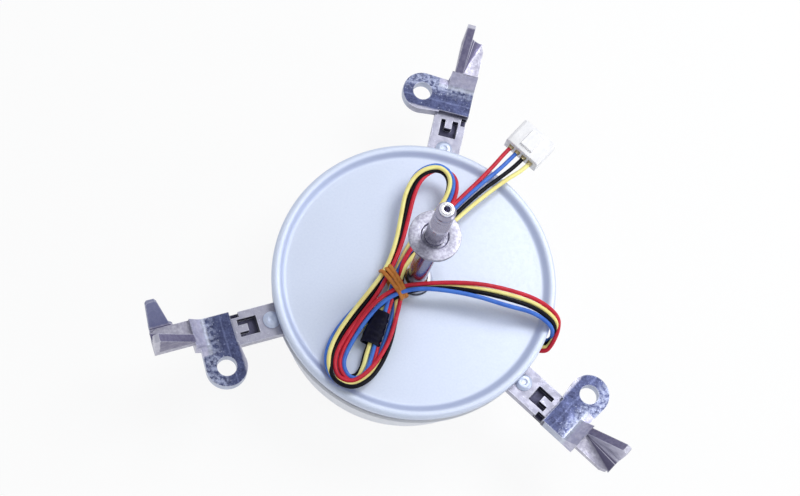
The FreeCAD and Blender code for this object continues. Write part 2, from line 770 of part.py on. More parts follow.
screws = new_body("board_screws")
screw_pads = []
for part_name, level, length, radius in (
        ("screw_head", board_low, 1.0, 2.2),
        ("screw_shank", plate_low, plate_low - board_low, 1.0)):
    screw_sketch = new_sketch(screws, "XY_Plane", part_name + "_outline", level)
    ring(screw_sketch, 0.0, 32.0, radius)
    screw_pads.append(pad(screws, screw_sketch, length, part_name, down=True))
spread(screws, screw_pads, 3, "screw_set")

chips = new_body("power_switches")
chip_sketch = new_sketch(chips, "XY_Plane", "switch_outline", board_low)
outline(chip_sketch, [(-3.2, -17.5), (3.2, -17.5), (3.2, -12.0), (-3.2, -12.0)])
chip = pad(chips, chip_sketch, 1.4, "switch", down=True)
spread(chips, [chip], 3, "switch_set")

caps = new_body("board_capacitors")
cap_sketch = new_sketch(caps, "XY_Plane", "capacitor_outline", board_low)
ring(cap_sketch, 0.0, 17.0, 2.6)
cap = pad(caps, cap_sketch, 1.6, "capacitor", down=True)
spread(caps, [cap], 3, "capacitor_set")

# Grommet in the slot where the wires leave the body.
grommet = new_body("wire_grommet")
grommet.Placement = FreeCAD.Placement(
    FreeCAD.Vector(0, 0, 0),
    FreeCAD.Rotation(FreeCAD.Vector(0, 0, 1), -12.6))
grommet_sketch = new_sketch(grommet, "YZ_Plane", "grommet_outline", 39.4)
outline(grommet_sketch, [
    (-3.5, -4.6), (3.5, -4.6), (3.5, -0.7), (3.0, -0.2), (-3.0, -0.2), (-3.5, -0.7)])
pad(grommet, grommet_sketch, 3.2, "grommet_pad")
tunnel_sketch = new_sketch(grommet, "YZ_Plane", "grommet_tunnel", 38.0)
outline(tunnel_sketch, [(-2.9, -4.3), (2.9, -4.3), (2.9, -2.3), (-2.9, -2.3)])
pocket(grommet, tunnel_sketch, 8.0, "grommet_cut", up=True)

# Wires: points of each route in the frame of the part, from the board to the
# connector, joined by straight runs with tangent arcs.
ROUTES = {
    "red": [
        (31.9, -9.7, -4.9), (35.3, -10.2, -3.7), (43, -11.7, -3.1), (45.3, -9.3, -1.5),
        (46.2, -4.6, 2.3), (44.7, -1, 5.2), (36.9, 1.1, 7.8), (27.8, 1.2, 9.1), (18.4, 0.6, 9.7),
        (9.7, -1.3, 9.7), (1.8, -3.5, 9.3), (-3.6, -5.7, 6.8), (-8.3, -10.6, 5.5),
        (-12.2, -16.7, 4.5), (-15.2, -23.3, 3.8), (-16.5, -29, 3.6), (-16, -33.2, 3.8),
        (-12.9, -36.4, 3.9), (-8.6, -35.4, 3.9), (-6.7, -31.7, 3.9), (-6.5, -27.1, 3.9),
        (-6.6, -22.1, 4), (-6.2, -16.2, 4.3), (-5.7, -10.2, 4.9), (-5.2, -4.3, 5.2),
        (-4.7, 2.4, 4.9), (-1.9, 9.7, 5.6), (2.8, 17.4, 6.8), (6.3, 25.4, 7.8), (5, 32.6, 8.6),
        (-1.1, 33.5, 8.7), (-5.2, 29.2, 9.1), (-6.4, 23.6, 8.5), (-6.4, 16.3, 7.4),
        (-6.5, 7.6, 6.5), (-8, -1.6, 6), (-10.5, -9.8, 5.2), (-14.1, -17.6, 4.6),
        (-17, -24.8, 4.3), (-18.1, -31.1, 4.3), (-16.3, -36, 4.7), (-11.9, -36.8, 4.7),
        (-8.4, -33.6, 4.6), (-5.5, -28.3, 4.6), (-3.6, -21.6, 4.6), (-3.1, -14.3, 4.6),
        (-3.1, -6.7, 4.6), (-5.6, 0.6, 6.7), (-3, 8.5, 8), (1.9, 16.5, 7.9), (6.6, 24.9, 7.2),
        (11.5, 32.9, 6.4), (15.6, 40.3, 5.7), (17.9, 45, 5.4), (19.5, 47.7, 5.4),
    ],
    "blue": [
        (32.8, -5.5, -4.9), (36.2, -6.2, -3.7), (42.8, -7.5, -3.1), (44.2, -6.7, -2.3),
        (44.7, -5.9, 0.3), (43.3, -4.5, 4.8), (36.3, -3, 7.5), (27.8, -3.8, 8.9),
        (18.8, -3.3, 9.4), (10.2, -3.8, 9.5), (2.3, -5.2, 9.3), (-2.8, -6.8, 6.8),
        (-7.2, -11.4, 5.4), (-10.9, -17.4, 4.5), (-13.9, -23.7, 3.8), (-15.3, -29.1, 3.6),
        (-14.9, -32.7, 3.8), (-12.4, -35.3, 3.8), (-9.3, -34.6, 3.8), (-7.8, -31.4, 4),
        (-7.6, -27.1, 4.1), (-7.4, -22, 4.6), (-7, -16.2, 4.9), (-6.5, -10.2, 5),
        (-6.6, -4.2, 5.2), (-5.2, 2.6, 5.2), (-2.7, 10, 5.7), (1.7, 17.9, 6.7), (5, 25.7, 7.9),
        (4.2, 32, 9.1), (-1.3, 34.7, 9.8), (-7.2, 30.7, 9.1), (-8.9, 23.8, 7.7),
        (-8.2, 16.2, 6.4), (-7.6, 7.7, 5.4), (-8, -1.6, 4.8), (-12.2, -9.1, 4.2),
        (-16.9, -16.3, 3.6), (-20.2, -23.9, 3.5), (-20.9, -31.4, 3.7), (-17.3, -37.2, 3.7),
        (-11.7, -37.4, 3.7), (-8, -33.8, 3.6), (-5.9, -28.2, 3.5), (-4.7, -21.5, 3.4),
        (-4.3, -14.3, 3.4), (-4.5, -6.8, 3.4), (-5.3, 0.6, 5.6), (-2.3, 8.1, 7.2),
        (2.9, 15.8, 7.8), (7.4, 24.4, 7.2), (12.4, 32.3, 6.4), (17.3, 39.2, 5.7), (20, 43.7, 5.4),
        (21.7, 46.5, 5.4),
    ],
    "black": [
        (32.5, -6.9, -4.9), (35.9, -7.6, -3.7), (42.9, -8.9, -3.1), (44.6, -7.3, -2.1),
        (45.2, -5.2, 0.9), (43.7, -3.3, 5), (36.5, -1.6, 7.7), (27.8, -1.6, 8.9),
        (18.6, -1.9, 9.4), (10, -2.7, 8.9), (2.2, -4.7, 8.1), (-2.8, -6.8, 5.6), (-7.8, -11, 4.2),
        (-11.5, -17.1, 3.3), (-14.5, -23.5, 2.6), (-14.9, -29.1, 2.4), (-14.4, -32.5, 2.6),
        (-12.2, -34.7, 2.8), (-9.8, -34, 2.9), (-8.6, -31.2, 3), (-8.6, -27, 3.1),
        (-7.4, -22, 3.2), (-7.1, -16.2, 3.5), (-6.3, -10.2, 3.8), (-5.2, -4.3, 4), (-5.6, 2.7, 4),
        (-3.5, 10.4, 4.8), (0.7, 18.4, 5.9), (3.5, 25.9, 7.1), (3, 31.2, 8.4), (-1, 33, 9.4),
        (-5.8, 29.7, 9.4), (-7.7, 23.7, 8.4), (-7.5, 16.3, 7.2), (-7.6, 7.7, 6.3),
        (-9.4, -1.2, 4.8), (-11.6, -9.4, 4.7), (-15.3, -17, 4.2), (-18.1, -24.5, 3.9),
        (-19, -31.2, 3.9), (-17.2, -37, 4.5), (-11.3, -38.6, 4.5), (-6.8, -34.7, 4.4),
        (-4.1, -28.7, 4.2), (-3, -21.7, 3.9), (-3.1, -14.3, 3.9), (-3.4, -6.8, 3.9),
        (-4.5, 0.5, 5.6), (-1.7, 7.7, 7.7), (3.9, 15.2, 7.9), (8.7, 23.6, 7.2), (13.8, 31.4, 6.4),
        (19.1, 38, 5.7), (22.3, 42.4, 5.4), (23.9, 45.2, 5.4),
    ],
    "yellow": [
        (32.2, -8.3, -4.9), (35.6, -8.8, -3.7), (42.9, -10.3, -3.1), (44.9, -8.2, -1.9),
        (45.7, -4.7, 1.6), (44.2, -2.2, 5.1), (36.7, -0.3, 7.7), (27.8, -0.2, 9), (18.5, -0.6, 9),
        (9.9, -2, 8.4), (1.8, -3.6, 8.1), (-3.6, -5.7, 5.6), (-6.9, -11.6, 4.2),
        (-10.6, -17.6, 3.2), (-13.5, -23.9, 2.6), (-15.3, -29.1, 2.3), (-14.9, -32.7, 2.5),
        (-12.3, -35.1, 2.6), (-9.6, -34.3, 2.7), (-8.4, -31.3, 3.4), (-8.5, -27, 4.2),
        (-8.2, -22, 4), (-7.8, -16.1, 4.3), (-7.1, -10.1, 4), (-6.6, -4.2, 4), (-6, 2.7, 4.9),
        (-3.8, 10.5, 5.9), (0.5, 18.5, 7.1), (3.6, 25.9, 8.3), (3.3, 31.4, 9.6),
        (-1.1, 33.8, 10.3), (-6.8, 30.4, 10), (-9.1, 23.8, 8.8), (-8.7, 16.2, 7.6),
        (-8.3, 7.7, 6.7), (-9.4, -1.2, 6), (-12.8, -8.9, 5.3), (-16.4, -16.6, 4.8),
        (-19.3, -24.2, 4.5), (-20.1, -31.3, 4.5), (-17.3, -37.1, 4.8), (-11.6, -37.7, 4.8),
        (-7.5, -34.2, 4.5), (-4.8, -28.5, 3.7), (-3.5, -21.6, 3.3), (-3.2, -14.3, 3.2),
        (-4.5, -6.8, 4.6), (-4.5, 0.5, 6.8), (-1.2, 7.4, 8.2), (4.8, 14.6, 8.1), (9.9, 22.8, 7.3),
        (15.3, 30.4, 6.4), (20.5, 37.1, 5.7), (24.4, 41.1, 5.4), (26.1, 44, 5.4),
    ],
}


def corner_radius(before, point, after):
    """Radius of the arc at a point, from the shorter run and the turn."""
    first = point - before
    second = after - point
    turn = first.getAngle(second)
    return 0.45 * min(first.Length, second.Length) / math.tan(turn / 2), turn


def wire_path(points):
    """Straight runs and tangent arcs through the points; the radii are returned."""
    edges = []
    radii = []
    last = points[0]
    for i in range(1, len(points) - 1):
        radius, turn = corner_radius(points[i - 1], points[i], points[i + 1])
        back = (points[i - 1] - points[i]).normalize()
        ahead = (points[i + 1] - points[i]).normalize()
        cut = radius * math.tan(turn / 2)
        enter = points[i] + back * cut
        leave = points[i] + ahead * cut
        middle_way = (back + ahead).normalize()
        middle = points[i] + middle_way * (radius / math.cos(turn / 2) - radius)
        edges.append(Part.LineSegment(last, enter).toShape())
        edges.append(Part.Arc(enter, middle, leave).toShape())
        radii.append(radius)
        last = leave
    edges.append(Part.LineSegment(last, points[-1]).toShape())
    return Part.Wire(edges), radii


def wire_tube(name, points, radius):
    """Plain tube of one wire."""
    spots = [FreeCAD.Vector(*point) for point in points]
    path, radii = wire_path(spots)
    start = (spots[1] - spots[0]).normalize()
    section = Part.Wire([Part.makeCircle(radius, spots[0], start)])
    tube = path.makePipeShell([section], True, False)
    expected = math.pi * radius ** 2 * path.Length
    print(name, "length %.1f" % path.Length, "smallest radius %.2f" % min(radii),
          "volume share %.4f" % (tube.Volume / expected))
    thing = doc.addObject("Part::Feature", name)
    thing.Label = name
    thing.Shape = tube
    thing.Placement = FreeCAD.Placement()
    return thing


for colour, points in ROUTES.items():
    wire_tube("wire_" + colour, points, SIZES["wire_radius"])


def tilted_sketch(body, name, spot, across, upward):
    """A sketch whose plane holds the two directions, with its origin at the spot."""
    sketch = new_sketch(body, "XY_Plane", name)
    sketch.AttachmentOffset = FreeCAD.Placement(
        spot, FreeCAD.Rotation(across, upward, across.cross(upward), "XYZ"))
    return sketch


def oval(half_width, half_height, power, count):
    """Points of a rounded oval: |x/a|^n + |z/b|^n = 1."""
    points = []
    for i in range(count):
        angle = 2 * math.pi * (i + 0.5) / count
        c, s = math.cos(angle), math.sin(angle)
        points.append((half_width * math.copysign(abs(c) ** (2 / power), c),
                       half_height * math.copysign(abs(s) ** (2 / power), s)))
    return points


UP = FreeCAD.Vector(0, 0, 1)

# Rubber band round all the turns of the wires, beside the shaft.
band = new_body("rubber_band")
band_across = FreeCAD.Vector(0.72, -0.694, 0).normalize()
band_sketch = tilted_sketch(band, "band_section", FreeCAD.Vector(-6.13, -4.12, 5.1),
                            band_across, UP)
outline(band_sketch, oval(6.0, 3.2, 2.6, 28))
outline(band_sketch, oval(5.3, 2.5, 2.6, 28))
pad(band, band_sketch, 3.2, "band_pad", middle=True)

# Sleeve over the four wires inside the lower turn.
sleeve = new_body("splice_sleeve")
sleeve_start = FreeCAD.Vector(-7.79, -24.89, 3.85)
sleeve_end = FreeCAD.Vector(-6.98, -14.36, 4.35)
sleeve_way = (sleeve_end - sleeve_start).normalize()
sleeve_across = sleeve_way.cross(UP).normalize()
sleeve_sketch = tilted_sketch(sleeve, "sleeve_section", sleeve_start, sleeve_across,
                              sleeve_across.cross(sleeve_way))
sleeve_down = sleeve_across.cross(sleeve_across.cross(sleeve_way)).dot(sleeve_way) < 0
outline(sleeve_sketch, oval(2.6, 1.95, 2.4, 20))
outline(sleeve_sketch, oval(2.1, 1.5, 2.4, 20))
pad(sleeve, sleeve_sketch, sleeve_end.distanceToPoint(sleeve_start), "sleeve_pad",
    down=sleeve_down)

# Connector at the wire ends: x along the row, y into the housing.
red_end = FreeCAD.Vector(*ROUTES["red"][-1])
yellow_end = FreeCAD.Vector(*ROUTES["yellow"][-1])
row_way = (yellow_end - red_end).normalize()
into_way = UP.cross(row_way).normalize()
connector_spot = FreeCAD.Placement(
    (red_end + yellow_end) * 0.5, FreeCAD.Rotation(row_way, into_way, UP, "XYZ"))
housing = new_body("connector_housing")
housing.Placement = connector_spot
housing_sketch = new_sketch(housing, "XZ_Plane", "housing_outline")
half_width = d("connector_width") / 2
half_height = d("connector_height") / 2
outline(housing_sketch, [
    (-half_width, -half_height), (half_width, -half_height),
    (half_width, half_height - 0.8), (half_width - 0.8, half_height),
    (-half_width + 0.8, half_height), (-half_width, half_height - 0.8)])
pad(housing, housing_sketch, d("connector_length"), "housing_pad", down=True)
latch_sketch = new_sketch(housing, "XY_Plane", "latch_outline", half_height - 0.2)
outline(latch_sketch, [(-2.2, 1.5), (2.2, 1.5), (2.2, 7.6), (-2.2, 7.6)])
pad(housing, latch_sketch, 1.0, "latch")
cavity_sketch = new_sketch(housing, "XZ_Plane", "cavity_outline", 1.0)
for place in (-1.5, -0.5, 0.5, 1.5):
    middle = d("connector_pitch") * place
    outline(cavity_sketch, [
        (middle - 0.85, -0.85), (middle + 0.85, -0.85),
        (middle + 0.85, 0.85), (middle - 0.85, 0.85)])
pocket(housing, cavity_sketch, d("connector_length") + 2.0, "cavities")

terminals = new_body("connector_terminals")
terminals.Placement = connector_spot
barrel_sketch = new_sketch(terminals, "XZ_Plane", "barrel_outline", 0.9)
box_sketch = new_sketch(terminals, "XZ_Plane", "contact_outline")
for place in (-1.5, -0.5, 0.5, 1.5):
    middle = d("connector_pitch") * place
    ring(barrel_sketch, middle, 0.0, 0.84)
    ring(barrel_sketch, middle, 0.0, d("wire_radius") + 0.01)
    outline(box_sketch, [
        (middle - 0.75, -0.75), (middle + 0.75, -0.75),
        (middle + 0.75, 0.75), (middle - 0.75, 0.75)])
pad(terminals, barrel_sketch, 0.95, "barrels", down=True)
pad(terminals, box_sketch, 5.0, "contacts", down=True)

# Check of every object, then one file for each piece.
doc.recompute()
for thing in doc.Objects:
    if "Invalid" in thing.State or "Error" in thing.State:
        raise RuntimeError("%s: %s" % (thing.Name, thing.State))
pieces = [thing for thing in doc.Objects
          if thing.TypeId in ("PartDesign::Body", "Part::Feature")]
for piece in pieces:
    if piece.Shape.isNull() or not piece.Shape.isValid() or not piece.Shape.Solids:
        raise RuntimeError(piece.Label + " has no sound shape")
for piece in pieces:
    piece.Shape.exportStep("parts/%s.step" % piece.Label)
    box = piece.Shape.BoundBox
    print("%-22s solids %2d  x %7.2f %7.2f  y %7.2f %7.2f  z %7.2f %7.2f" % (
        piece.Label, len(piece.Shape.Solids), box.XMin, box.XMax, box.YMin,
        box.YMax, box.ZMin, box.ZMax))
print(len(pieces), "pieces")
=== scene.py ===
import math

import bmesh
import bpy
import numpy as np
from mathutils import Matrix, Vector


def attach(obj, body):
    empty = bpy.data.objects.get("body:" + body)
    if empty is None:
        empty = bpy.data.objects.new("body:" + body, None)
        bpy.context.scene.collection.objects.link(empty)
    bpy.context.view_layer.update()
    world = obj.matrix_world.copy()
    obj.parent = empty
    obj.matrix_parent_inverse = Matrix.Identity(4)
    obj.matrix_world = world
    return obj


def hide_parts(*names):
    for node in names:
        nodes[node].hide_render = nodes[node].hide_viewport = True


# Fan motor of a hot-air oven: finishes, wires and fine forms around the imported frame.
# The scene is in metres; MM turns a size that is written in millimetres into metres.

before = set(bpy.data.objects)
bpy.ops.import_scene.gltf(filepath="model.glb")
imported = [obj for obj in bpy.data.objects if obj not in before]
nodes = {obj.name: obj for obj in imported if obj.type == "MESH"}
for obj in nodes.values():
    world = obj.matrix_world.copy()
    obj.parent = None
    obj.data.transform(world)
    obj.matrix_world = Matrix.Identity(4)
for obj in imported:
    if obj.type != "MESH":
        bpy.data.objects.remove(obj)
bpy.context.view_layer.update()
MM = 0.001
FULL_TURN = 2 * math.pi
LEG_ANGLES = [math.radians(90 + 120 * leg) for leg in range(3)]

# Sizes that the looks share with the source of the part, in millimetres
COVER_RADIUS = 42.8
COVER_CREST = 40.75
COVER_WALL = 39.1
COVER_HOLE = 5.0
FACE_LEVEL = 1.4
RIM_LEVEL = 2.3
SKIRT_LEVEL = 0.0
CAN_RADIUS = 38.0
CAN_FLANGE = 42.3
CAN_BOTTOM = -29.0
CAN_SHEET = 1.2
SHEET_WALL = 0.9
PLATE_TOP = -1.7
PLATE_THICKNESS = 3.0
RIVET_CENTRE = 44.4
RIVET_HEAD = 2.6
RIVET_SHANK = 1.5
SHAFT_RADIUS = 3.0
THREAD_RADIUS = 2.88
SEAT_START = 40.7
SHAFT_BOTTOM = -27.2
SHAFT_TOP = 62.0
FLANGE_RADIUS = 7.5
FLANGE_TOP = 40.6
WIRE_RADIUS = 0.65

# Camera: where the photograph was taken from, turned to the middle of the motor.
CAMERA_SPOT = Vector((-38.0, -191.0, 536.6)) * MM
CAMERA_AIM = Vector((-6.4, 8.9, 0.0)) * MM
CAMERA_UP = Vector((-0.242, 0.924, 0.297))
CAMERA_LENS = 86.0
SENSOR_WIDTH = 36.0


def new_object(name, data):
    """An object in the scene for a mesh, a curve, a light or a camera."""
    thing = bpy.data.objects.new(name, data)
    bpy.context.scene.collection.objects.link(thing)
    return thing


def make_camera():
    """A camera whose axes are the right, up and back directions of the photograph."""
    lens = bpy.data.cameras.new("camera")
    lens.sensor_width = SENSOR_WIDTH
    lens.lens = CAMERA_LENS
    lens.clip_start = 0.01
    lens.clip_end = 20.0
    camera = new_object("camera", lens)
    back = (CAMERA_SPOT - CAMERA_AIM).normalized()
    right = CAMERA_UP.cross(back).normalized()
    up = back.cross(right)
    camera.matrix_world = Matrix((
        (right.x, up.x, back.x, CAMERA_SPOT.x),
        (right.y, up.y, back.y, CAMERA_SPOT.y),
        (right.z, up.z, back.z, CAMERA_SPOT.z),
        (0, 0, 0, 1)))
    bpy.context.scene.camera = camera


make_camera()

# Wires: the points of each route, from the board to the connector, in millimetres.
ROUTES = {
    "red": [
        (31.9, -9.7, -4.9), (35.3, -10.2, -3.7), (42.9, -11.3, -3), (44.5, -8.9, -1.4),
        (45.1, -4.9, 2.4), (43.9, -1.6, 5.1), (36.9, 0.9, 7.7), (27.8, 1.2, 9.1), (18.4, 0.6, 9.7),
        (9.7, -1.3, 9.7), (1.8, -3.6, 9.1), (-3.8, -5, 6.7), (-9.2, -9.8, 6.2),
        (-12.8, -16.4, 5.5), (-15.2, -23.3, 3.8), (-16.5, -29, 3.6), (-16, -33.2, 3.8),
        (-12.9, -36.4, 3.9), (-8.6, -35.4, 3.9), (-6.7, -31.7, 3.9), (-6.5, -27.1, 3.9),
        (-6.6, -22.1, 4), (-6.2, -16.2, 4.3), (-5.7, -10.2, 4.9), (-5.2, -4.3, 5.2),
        (-4.7, 2.4, 4.9), (-1.9, 9.7, 5.6), (2.8, 17.4, 6.8), (6.3, 25.4, 7.8), (5, 32.6, 8.6),
        (-1.1, 33.5, 8.7), (-5.2, 29.2, 9.1), (-6.4, 23.6, 8.5), (-6.4, 16.3, 7.4),
        (-6.5, 7.6, 6.5), (-8, -1.6, 6), (-10.5, -9.8, 5.2), (-14.1, -17.6, 4.6),
        (-17, -24.8, 4.3), (-18.1, -31.1, 4.3), (-16.3, -36, 4.7), (-11.9, -36.8, 4.7),
        (-8.4, -33.6, 4.6), (-5.5, -28.3, 4.6), (-3.6, -21.6, 4.6), (-3.1, -14.3, 4.6),
        (-3.1, -6.7, 4.6), (-5.6, 0.6, 6.7), (-3, 8.5, 8), (1.9, 16.5, 7.9), (6.6, 24.9, 7.2),
        (11.5, 32.9, 6.4), (15.6, 40.3, 5.7), (17.9, 45, 5.4), (19.5, 47.7, 5.4),
    ],
    "blue": [
        (32.8, -5.5, -4.9), (36.2, -6.2, -3.7), (42.8, -7.5, -3.1), (43.8, -6.9, -2.2),
        (43.9, -6.5, 0.4), (42.6, -5, 4.6), (36.3, -3.2, 7.4), (27.8, -3.8, 8.9),
        (18.8, -3.3, 9.4), (10.2, -3.8, 9.5), (2.3, -4.9, 9.1), (-3.2, -6.4, 6.7),
        (-8.2, -10.8, 6.1), (-11.7, -17.3, 5.1), (-13.9, -23.7, 3.8), (-15.3, -29.1, 3.6),
        (-14.9, -32.7, 3.8), (-12.4, -35.3, 3.8), (-9.3, -34.6, 3.8), (-7.8, -31.4, 4),
        (-7.6, -27.1, 4.1), (-7.4, -22, 4.6), (-7, -16.2, 4.9), (-6.5, -10.2, 5),
        (-6.6, -4.2, 5.2), (-5.2, 2.6, 5.2), (-2.7, 10, 5.7), (1.7, 17.9, 6.7), (5, 25.7, 7.9),
        (4.2, 32, 9.1), (-1.3, 34.7, 9.8), (-7.2, 30.7, 9.1), (-8.9, 23.8, 7.7),
        (-8.2, 16.2, 6.4), (-7.6, 7.7, 5.4), (-8, -1.6, 4.8), (-12.2, -9.1, 4.2),
        (-16.9, -16.3, 3.6), (-20.2, -23.9, 3.5), (-20.9, -31.4, 3.7), (-17.3, -37.2, 3.7),
        (-11.7, -37.4, 3.7), (-8, -33.8, 3.6), (-5.9, -28.2, 3.5), (-4.7, -21.5, 3.4),
        (-4.3, -14.3, 3.4), (-4.5, -6.8, 3.4), (-5.3, 0.6, 5.6), (-2.3, 8.1, 7.2),
        (2.9, 15.8, 7.8), (7.4, 24.4, 7.2), (12.4, 32.3, 6.4), (17.3, 39.2, 5.7), (20, 43.7, 5.4),
        (21.7, 46.5, 5.4),
    ],
    "black": [
        (32.5, -6.9, -4.9), (35.9, -7.6, -3.7), (42.9, -8.9, -3.1), (44, -7.4, -2),
        (44.4, -5.8, 1), (43.1, -3.9, 4.9), (36.5, -1.8, 7.6), (27.8, -1.6, 8.9),
        (18.6, -1.9, 9.4), (10, -2.7, 8.9), (2.2, -4.7, 8.1), (-2.8, -6.8, 5.6), (-7.8, -11, 4.2),
        (-12.4, -16.7, 3.3), (-15.5, -23.1, 2.6), (-15.2, -29.1, 2.4), (-14.9, -32.4, 2.6),
        (-13, -34.8, 2.8), (-10.7, -34, 2.9), (-9.6, -31, 3), (-9.7, -26.6, 3.1),
        (-8.8, -21.8, 3.2), (-7.6, -16.2, 3.5), (-6.3, -10.2, 3.8), (-5.2, -4.3, 4), (-5.6, 2.7, 4),
        (-3.5, 10.4, 4.8), (0.7, 18.4, 5.9), (3.5, 25.9, 7.1), (3, 31.2, 8.4), (-1, 33, 9.4),
        (-5.8, 29.7, 9.4), (-7.7, 23.7, 8.4), (-7.5, 16.3, 7.2), (-7.6, 7.7, 6.3),
        (-9.4, -1.2, 4.8), (-11.6, -9.4, 4.7), (-15.3, -17, 4.2), (-18.1, -24.5, 3.9),
        (-19, -31.2, 4.1), (-17.7, -37.2, 5.1), (-11.4, -38.9, 5.3), (-6.6, -34.9, 5),
        (-4.1, -28.7, 4.2), (-3, -21.7, 3.9), (-3.1, -14.3, 3.9), (-3.4, -6.8, 3.9),
        (-4.5, 0.5, 5.6), (-1.7, 7.7, 7.7), (3.9, 15.2, 7.9), (8.7, 23.6, 7.2), (13.8, 31.4, 6.4),
        (19.1, 38, 5.7), (22.3, 42.4, 5.4), (23.9, 45.2, 5.4),
    ],
    "yellow": [
        (32.2, -8.3, -4.9), (35.6, -8.8, -3.7), (42.9, -10.1, -3), (44.2, -8, -1.8),
        (44.7, -5.2, 1.7), (43.5, -2.8, 5), (36.7, -0.5, 7.6), (27.8, -0.2, 9), (18.5, -0.6, 9),
        (9.9, -2, 8.4), (1.8, -3.6, 8.1), (-3.6, -5.7, 5.6), (-6.9, -11.6, 4.2),
        (-11.2, -17.3, 3.2), (-14.2, -23.6, 2.6), (-15.3, -29.1, 2.3), (-15, -32.7, 2.5),
        (-12.8, -35.1, 2.6), (-10.3, -34.2, 2.8), (-9.2, -31.1, 3.5), (-9.2, -26.8, 4.2),
        (-8.7, -22, 4), (-7.9, -16.1, 4.3), (-7.1, -10.1, 4), (-6.6, -4.2, 4), (-6, 2.7, 4.9),
        (-3.8, 10.5, 5.9), (0.5, 18.5, 7.1), (3.6, 25.9, 8.3), (3.3, 31.4, 9.6),
        (-1.1, 33.8, 10.3), (-6.8, 30.4, 10), (-9.1, 23.8, 8.8), (-8.7, 16.2, 7.6),
        (-8.3, 7.7, 6.7), (-9.4, -1.2, 6), (-12.8, -8.9, 5.3), (-16.4, -16.6, 4.8),
        (-19.3, -24.2, 4.5), (-20.1, -31.3, 4.5), (-17.4, -37, 4.4), (-11.6, -37.8, 4.3),
        (-7.5, -34.3, 4.2), (-4.8, -28.5, 3.7), (-3.5, -21.6, 3.3), (-3.2, -14.3, 3.2),
        (-4.5, -6.8, 4.6), (-4.5, 0.5, 6.8), (-1.2, 7.4, 8.2), (4.8, 14.6, 8.1), (9.9, 22.8, 7.3),
        (15.3, 30.4, 6.4), (20.5, 37.1, 5.7), (24.4, 41.1, 5.4), (26.1, 44, 5.4),
    ],
}


def wire_curve(colour):
    """One wire: a smooth NURBS line held by the points of its route, with a round section."""
    points = np.array(ROUTES[colour]) * MM
    curve = bpy.data.curves.new("wire_" + colour + "_line", "CURVE")
    curve.dimensions = "3D"
    spline = curve.splines.new("NURBS")
    spline.points.add(len(points) - 1)
    spline.points.foreach_set("co", np.c_[points, np.ones(len(points))].ravel())
    spline.points.foreach_set("radius", np.full(len(points), MM))
    spline.order_u = 3
    spline.use_endpoint_u = True
    curve.resolution_u = 10
    curve.bevel_depth = WIRE_RADIUS
    curve.bevel_resolution = 5
    curve.use_fill_caps = True
    wire = new_object("wire_" + colour + "_insulation", curve)
    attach(wire, "motor_body")
    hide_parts("wire_" + colour)
    return wire


wires = {colour: wire_curve(colour) for colour in ROUTES}


def tone(red, green, blue):
    """A colour as the photograph shows it, 0 to 255, turned into linear values."""
    share = np.array([red, green, blue]) / 255.0
    linear = np.where(share <= 0.04045, share / 12.92, ((share + 0.055) / 1.055) ** 2.4)
    return (*[float(value) for value in linear], 1.0)


# Shared effects: node groups with named inputs and outputs.
def new_group(name, inputs, outputs):
    """A node group with number sockets, its input node and its output node."""
    group = bpy.data.node_groups.new(name, "ShaderNodeTree")
    for label, value in inputs.items():
        made = group.interface.new_socket(name=label, in_out="INPUT",
                                          socket_type="NodeSocketFloat")
        made.default_value = value
    for label in outputs:
        group.interface.new_socket(name=label, in_out="OUTPUT", socket_type="NodeSocketFloat")
    return group, group.nodes.new("NodeGroupInput"), group.nodes.new("NodeGroupOutput")


def feed(tree, socket, given):
    """Gives an input a number, or links an output to it."""
    if isinstance(given, (int, float)):
        socket.default_value = given
    else:
        tree.links.new(given, socket)


def math_node(tree, operation, *operands):
    """A Math node; each operand is a socket or a number."""
    node = tree.nodes.new("ShaderNodeMath")
    node.operation = operation
    for socket, operand in zip(node.inputs, operands):
        feed(tree, socket, operand)
    return node.outputs[0]


def noise(tree, place, scale, detail=4.0, roughness=0.55, kind="3D"):
    """A Noise Texture at a place; for one dimension the place is a plain number."""
    node = tree.nodes.new("ShaderNodeTexNoise")
    node.noise_dimensions = kind
    node.inputs["Detail"].default_value = detail
    node.inputs["Roughness"].default_value = roughness
    tree.links.new(place, node.inputs["W" if kind == "1D" else "Vector"])
    feed(tree, node.inputs["Scale"], scale)
    return node.outputs["Fac"]


def stepped(tree, value, low, high):
    """The value spread from low..high to 0..1, smooth at both ends."""
    node = tree.nodes.new("ShaderNodeMapRange")
    node.interpolation_type = "SMOOTHSTEP"
    node.inputs["From Min"].default_value = low
    node.inputs["From Max"].default_value = high
    tree.links.new(value, node.inputs["Value"])
    return node.outputs["Result"]


def object_place(tree):
    """The place of a shaded point in the frame that all pieces share."""
    return tree.nodes.new("ShaderNodeTexCoord").outputs["Object"]


def separated(tree, vector):
    """The three coordinates of a vector."""
    node = tree.nodes.new("ShaderNodeSeparateXYZ")
    tree.links.new(vector, node.inputs[0])
    return node.outputs


def axis_distance(tree, x, y):
    """The distance of a point from the shaft axis."""
    square = math_node(tree, "ADD", math_node(tree, "MULTIPLY", x, x),
                       math_node(tree, "MULTIPLY", y, y))
    return math_node(tree, "SQRT", square)


def grain_group():
    """Speckle of a size in metres: a coarse mask, and a finer height."""
    group, given, out = new_group("grain", {"Size": 0.001}, ["Mask", "Height"])
    place = object_place(group)
    scale = math_node(group, "DIVIDE", 1.0, given.outputs["Size"])
    fine = math_node(group, "MULTIPLY", scale, 2.7)
    group.links.new(stepped(group, noise(group, place, scale), 0.36, 0.64), out.inputs["Mask"])
    group.links.new(noise(group, place, fine, 3.0), out.inputs["Height"])
    return group


